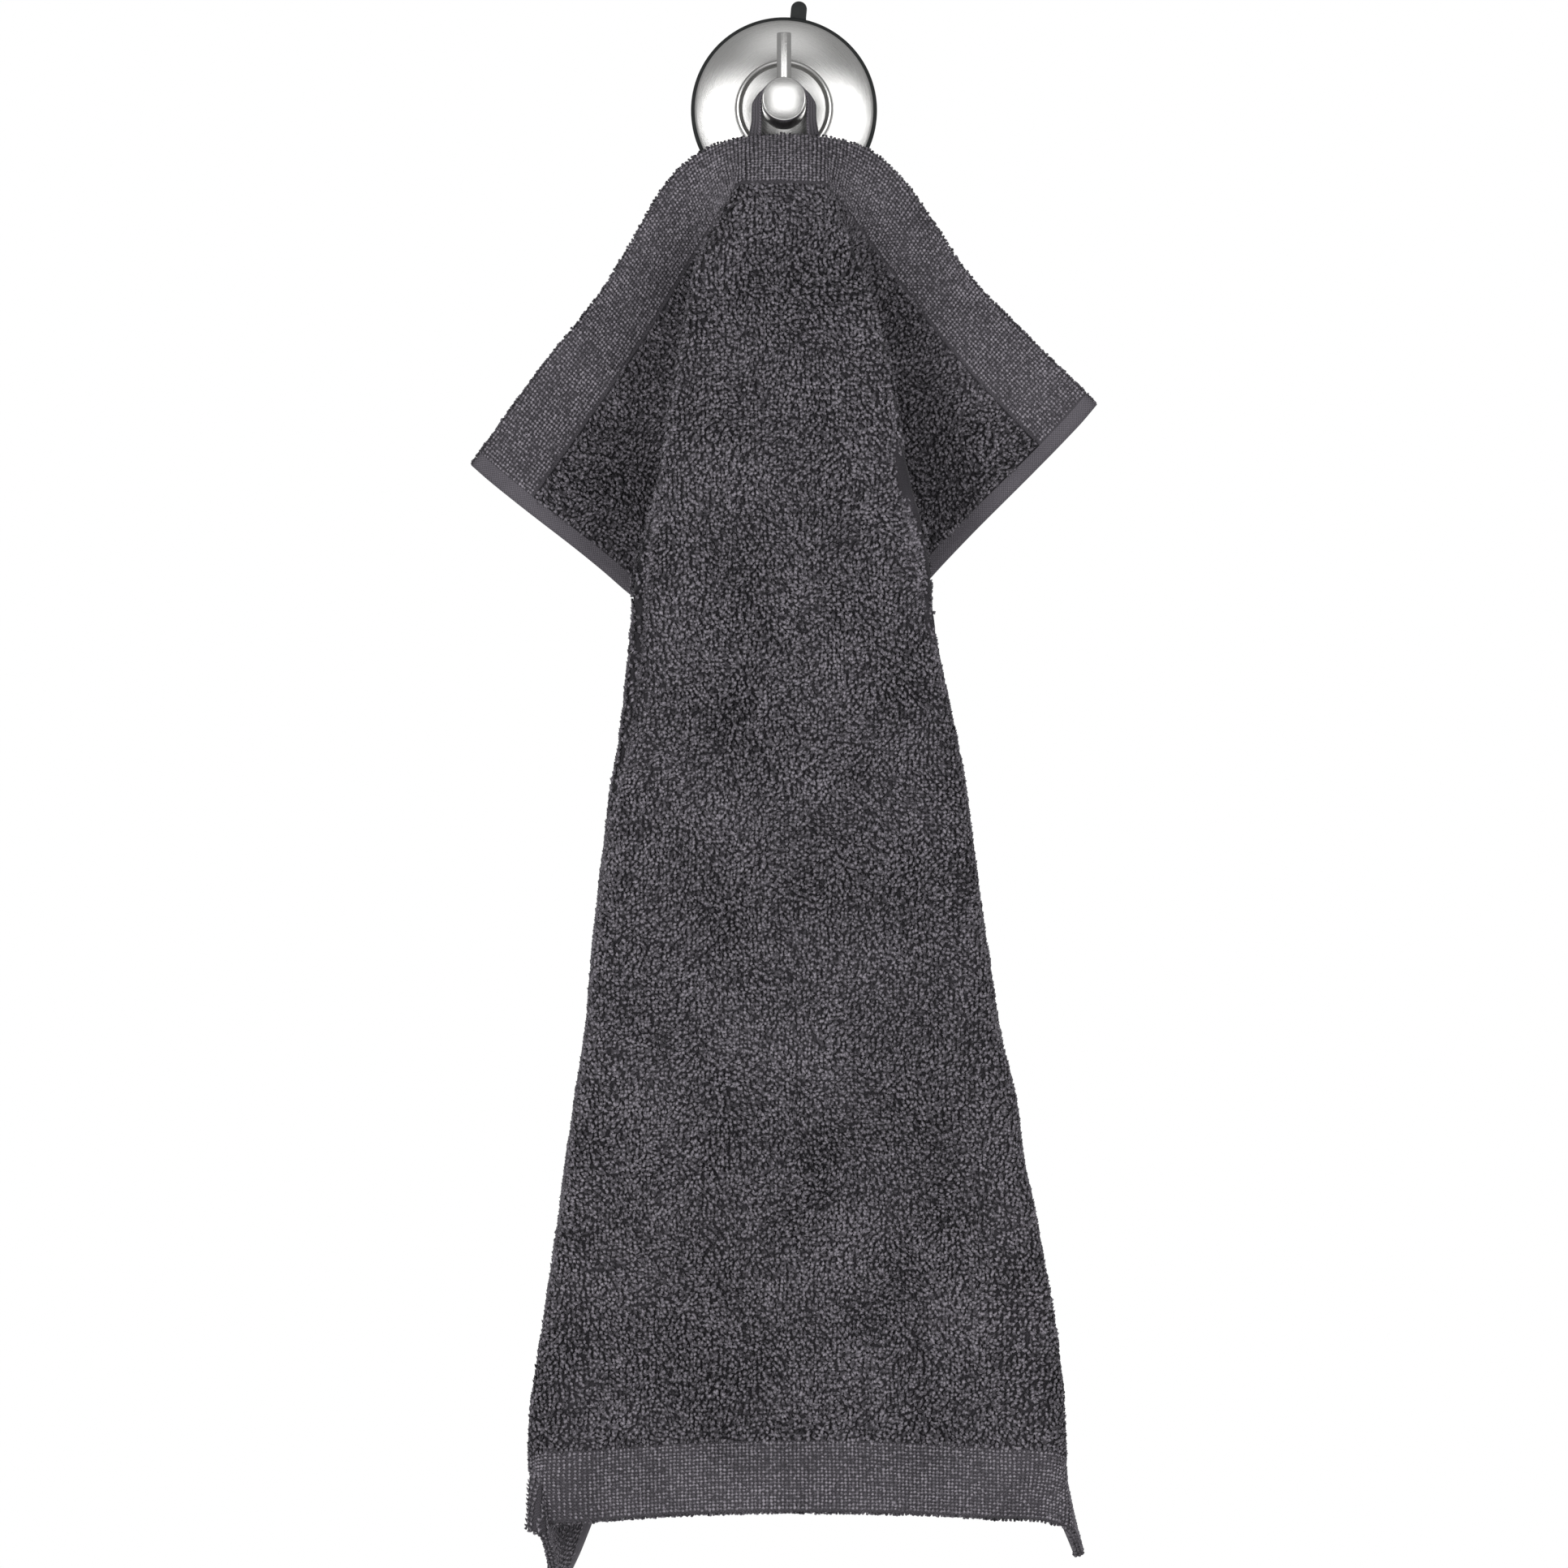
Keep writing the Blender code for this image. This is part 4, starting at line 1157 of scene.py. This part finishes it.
# Painted light is added here, for short dense loops that show less shade between them.
looped.links.new(math_node(looped, "ADD", ring_and_depth_shade, given["Lift"]), dyed.inputs["Light"])
looped.links.new(given["Tone"], dyed.inputs["Tone"])
looped.links.new(given["Clouds"], dyed.inputs["Clouds"])
looped.links.new(dyed.outputs["Color"], result["Color"])
looped.links.new(ring, result["Height"])
print("groups:", yarn.name, "|", looped.name)

# %% [markdown]
# ## Terry, ground cloth and tape
#
# Cotton is matt with a soft sheen where fibres catch the light at the edge of a fold. These numbers are the same all
# over, so they are set on the shader itself. The ground cloth shows at the side hems, with a fine plain weave;
# between the loops it is painted nearly black, and under the end hems' loops less than half as light, as shade. The
# tape has the slanting stitches of a narrow knit. Weave and stitches are waves along the pieces' own maps, and give
# both the bump and the light.

# %% Make the cloth materials
FINENESS = 700
# Painted light: the short, dense loops of the hems are made lighter because they show less shade between them.
HEM_PAINTED_LIGHT = 0.24  # light added to the short loops of the hems
# Painted shade: under the end hems' loops the ground keeps less than half of the weave's light.
END_HEM_LIGHT = 0.45  # of the light that the weave has in the side hems
WEFT_STEP, WARP_STEP = 0.0013, 0.0012
STITCH_STEP = 0.0013
SHEEN_TINT = (0.75, 0.73, 0.78, 1)


def cloth_material(name, roughness=0.95, sheen=0.22):
    return new_material(
        name, Roughness=roughness, Specular_IOR_Level=0.15, Sheen_Weight=sheen, Sheen_Roughness=0.45,
        Sheen_Tint=SHEEN_TINT,
    )


def pile_material(name, clouds_value, lift):
    material, tree, shader = cloth_material(name)
    coloured = use_group(tree, looped, Clouds=clouds_value, Lift=lift, Fineness=FINENESS)
    bump_from(tree, coloured.outputs["Height"], shader, 0.5, 0.0004)
    for label in ("tone", "depth"):
        attribute = add_node(tree, "ShaderNodeAttribute", attribute_name=label)
        tree.links.new(attribute.outputs["Fac"], coloured.inputs[label.capitalize()])
    tree.links.new(coloured.outputs["Color"], shader.inputs["Base Color"])
    return material


def woven_material(name, clouds_value, **finish):
    """A cloth coloured by the yarn group alone, with the two directions of its weave map."""
    material, tree, shader = cloth_material(name, **finish)
    coloured = use_group(tree, yarn, Tone=0.5, Clouds=clouds_value)
    tree.links.new(coloured.outputs["Color"], shader.inputs["Base Color"])
    directions = split_place(tree, add_node(tree, "ShaderNodeUVMap", uv_map="weave").outputs["UV"])
    return material, tree, shader, coloured.inputs["Light"], directions["X"], directions["Y"]


terry = pile_material("terry pile", 0.40, 0.0)
hem_terry = pile_material("short hem pile", 0.45, HEM_PAINTED_LIGHT)

ground_cloth, tree, shader, light, across, along = woven_material("ground cloth", 0.30, sheen=0.15)
half_cloth = (LOOP_TO_LEFT + LOOP_TO_RIGHT) / 2
from_middle = math_node(tree, "ABSOLUTE", math_node(tree, "SUBTRACT", across, half_cloth))
is_side_hem = math_node(tree, "GREATER_THAN", from_middle, half_cloth - SIDE_HEM)
from_centre = math_node(tree, "ABSOLUTE", math_node(tree, "SUBTRACT", along, TOWEL_LENGTH / 2))
is_end_hem = math_node(tree, "GREATER_THAN", from_centre, TOWEL_LENGTH / 2 - END_HEM)
# Painted shade: the weave's light counts in full at the side hems, in part under the end hems' loops and not at all
# under the body's loops, where the ground stays nearly black.
in_hem = math_node(tree, "MAXIMUM", math_node(tree, "MULTIPLY", is_end_hem, END_HEM_LIGHT), is_side_hem)
weave = math_node(tree, "MULTIPLY", wave(tree, across, WEFT_STEP), wave(tree, along, WARP_STEP))
weave_light = math_node(tree, "ADD", math_node(tree, "MULTIPLY", weave, 0.22), 0.43)
tree.links.new(math_node(tree, "ADD", math_node(tree, "MULTIPLY", weave_light, in_hem), 0.08), light)
bump_from(tree, weave, shader, 0.6, 0.0002)

tape_knit, tree, shader, light, across, along = woven_material("knitted tape", 0.10, roughness=0.88, sheen=0.12)
slanted = math_node(tree, "ADD", along, math_node(tree, "PINGPONG", across, TAPE_WIDTH / 4))
stitches = math_node(tree, "MULTIPLY", wave(tree, slanted, STITCH_STEP), 0.5)
ribs = math_node(tree, "MULTIPLY", wave(tree, across, TAPE_WIDTH / TAPE_RIBS, "COSINE"), 0.5)
knit = math_node(tree, "ADD", stitches, ribs)
tree.links.new(math_node(tree, "ADD", math_node(tree, "MULTIPLY", knit, 0.42), 0.50), light)
bump_from(tree, knit, shader, 0.9, 0.0004)

for piece in pile_pieces:
    piece.data.materials.append(hem_terry if "hem" in piece.name else terry)
ground.data.materials.append(ground_cloth)
tape.data.materials.append(tape_knit)
print("cloth materials:", terry.name, "|", hem_terry.name, "|", ground_cloth.name, "|", tape_knit.name)

# %% [markdown]
# ## Brushed steel
#
# The steel was brushed while it turned, so its scratches are circles. A noise that is read along the radius only,
# with just a little change around the circle, gives such lines. They vary the roughness and the colour, and lift a
# fine bump. The long bow-tie highlights come from the shader's anisotropy: its tangent runs around the hook's axis.
# The peg is polished smoother than the disc.

# %% Build the brushed steel
BRUSHED_ROUGHNESS = (0.27, 0.35)
STEEL_SHADES = ((0.3, (0.62, 0.615, 0.605)), (0.7, (0.70, 0.695, 0.685)))
ALONG_A_LINE = 1.6
PIN_AROUND = 200.0

brushed, given, result = new_group(
    "turned brushing", ("Radius", "Around", "Fineness", "Polish"), ("Line", "Roughness", "Color")
)
line_place = add_node(brushed, "ShaderNodeCombineXYZ")
brushed.links.new(math_node(brushed, "MULTIPLY", given["Radius"], given["Fineness"]), line_place.inputs["X"])
brushed.links.new(math_node(brushed, "MULTIPLY", given["Around"], ALONG_A_LINE), line_place.inputs["Y"])
lines = noise(brushed, line_place.outputs["Vector"], 1.0, 4)
brushed.links.new(lines, result["Line"])
roughness = math_node(brushed, "SUBTRACT", spread(brushed, lines, *BRUSHED_ROUGHNESS), given["Polish"])
brushed.links.new(roughness, result["Roughness"])
brushed.links.new(colour_ramp(brushed, lines, STEEL_SHADES), result["Color"])


def steel_material(name, axis, fineness, anisotropy, polish):
    """Steel brushed around an axis. On the pin the axis is upright, on the rest it points at the viewer."""
    material, tree, shader = new_material(name, Metallic=1.0, Anisotropic=anisotropy)
    place = split_place(tree, object_place(tree))
    if axis == "Y":
        flat = add_node(tree, "ShaderNodeCombineXYZ")
        tree.links.new(place["X"], flat.inputs["X"])
        tree.links.new(place["Z"], flat.inputs["Z"])
        radius = add_node(tree, "ShaderNodeVectorMath", operation="LENGTH")
        tree.links.new(flat.outputs["Vector"], radius.inputs[0])
        along = math_node(tree, "ADD", radius.outputs["Value"], place["Y"])
        around = math_node(tree, "ARCTAN2", place["Z"], place["X"])
    else:
        along = place["Z"]
        around = math_node(tree, "MULTIPLY", place["X"], PIN_AROUND)
    brushing = use_group(tree, brushed, Fineness=fineness, Polish=polish)
    tree.links.new(along, brushing.inputs["Radius"])
    tree.links.new(around, brushing.inputs["Around"])
    tree.links.new(brushing.outputs["Color"], shader.inputs["Base Color"])
    tree.links.new(brushing.outputs["Roughness"], shader.inputs["Roughness"])
    bump_from(tree, brushing.outputs["Line"], shader, 0.12, 0.00003)
    tangent = add_node(tree, "ShaderNodeTangent", direction_type="RADIAL", axis=axis)
    tree.links.new(tangent.outputs["Tangent"], shader.inputs["Tangent"])
    return material


for piece, *finish in (  # name, axis, fineness, anisotropy, polish
    (disc, "brushed disc", "Y", 16000.0, 0.85, 0.04),
    (peg, "brushed peg", "Y", 16000.0, 0.4, 0.12),
    (pin, "turned pin", "Z", 5000.0, 0.0, 0.08),
):
    piece.data.materials.append(steel_material(*finish))
    print(piece.name, "is of", piece.data.materials[0].name)

# %% [markdown]
# ## Rubber
#
# The cup and its tab are moulded rubber, dark and half matt, with the faint grain of the mould and a little dust
# that makes some places duller.

# %% Make the rubber
RUBBER_SHADES = ((0.0, (0.006, 0.0065, 0.0065)), (1.0, (0.024, 0.026, 0.026)))
RUBBER_ROUGHNESS = (0.45, 0.70)

rubber, tree, shader = new_material("moulded rubber", Specular_IOR_Level=0.25)
place = object_place(tree)
dust = noise(tree, place, 260, 4)
tree.links.new(colour_ramp(tree, dust, RUBBER_SHADES), shader.inputs["Base Color"])
tree.links.new(spread(tree, dust, *RUBBER_ROUGHNESS), shader.inputs["Roughness"])
bump_from(tree, noise(tree, place, 2500), shader, 0.3, 0.0001)
cup.data.materials.append(rubber)
tab.data.materials.append(rubber)
print("rubber on:", cup.name, "and", tab.name)

# %% [markdown]
# ## Attach the new pieces
#
# Each new piece stands for a solid of the imported model, and all of them are attached to one root body, which they
# move with. The imported solids are hidden. The towel hangs from the tape, with the pile as pieces on it.

ROOT = "root"
for piece in (ground, tape, disc, peg, pin, cup, tab, *pile_pieces):
    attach(piece, ROOT)
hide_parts("towel")
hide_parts("hanging_loop")
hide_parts("cover_disc")
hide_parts("peg")
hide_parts("peg_pin")
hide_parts("suction_cup")

# %% [markdown]
# ## Floor and light
#
# A white room as in a small studio. Two soft lights stand at the front left and the front right, with a weak one in
# the middle and one behind, which only the views from the back need. Steel shows whatever it mirrors, so it would
# come out white all over. The lights for the cloth are therefore left out of reflections, and four weak panels stand
# where the disc's white wedges, its lighter top and the end of the peg mirror them. The floor is pale and lies below
# the towel, outside the first view.

# %% Light the towel
FLOOR_HEIGHT = -1.0
FLOOR_REACH = 3.2
FLOOR_MIDDLE = -1.1
ROOM_LIGHT = 0.34

bm = bmesh.new()
floor_place = Matrix.Translation((0, FLOOR_MIDDLE, FLOOR_HEIGHT))
bmesh.ops.create_grid(bm, x_segments=1, y_segments=1, size=FLOOR_REACH, matrix=floor_place)
floor_mesh = bpy.data.meshes.new("floor")
bm.to_mesh(floor_mesh)
bm.free()
floor = show("floor", floor_mesh)
floor.data.materials.append(new_material("pale floor", Base_Color=(0.86, 0.86, 0.86, 1), Roughness=0.8)[0])

world = bpy.data.worlds.new("white room")
bpy.context.scene.world = world
world.use_nodes = True
tree = world.node_tree
background = tree.nodes["Background"]
background.inputs["Color"].default_value = (1, 1, 1, 1)
is_camera_ray = add_node(tree, "ShaderNodeLightPath").outputs["Is Camera Ray"]
tree.links.new(spread(tree, is_camera_ray, ROOM_LIGHT, 1.0), background.inputs["Strength"])
bpy.context.scene.view_settings.view_transform = "Standard"

TARGET = Vector((0, -0.05, -0.25))
LIGHTS = (  # name, place, width, height, watts, mirrored in the steel
    ("left light", (-1.15, -2.0, -0.30), 0.6, 0.9, 23.0, False),
    ("right light", (1.15, -2.0, -0.30), 0.6, 0.9, 15.0, False),
    ("front light", (0.0, -2.5, -0.40), 0.5, 0.5, 0.5, False),
    ("left panel", (-1.15, -2.0, 0.08), 0.6, 0.85, 8.5, True),
    ("right panel", (1.15, -2.0, 0.08), 0.6, 0.85, 8.5, True),
    ("front panel", (0.0, -2.5, 0.30), 0.85, 0.85, 4.4, True),
    ("top panel", (0.0, -1.5, 1.2), 0.9, 0.4, 1.0, True),
    ("back light", (0.5, 1.9, 0.80), 1.2, 0.8, 28.0, False),
)
for name, place, width, height, watts, mirrored in LIGHTS:
    light_data = bpy.data.lights.new(name, "AREA")
    light_data.shape = "RECTANGLE"
    light_data.size, light_data.size_y = width, height
    light_data.energy = watts
    light = show(name, light_data)
    light.location = place
    light.rotation_euler = (TARGET - Vector(place)).to_track_quat("-Z", "Y").to_euler()
    light.visible_glossy = mirrored
print("lights:", len(LIGHTS))
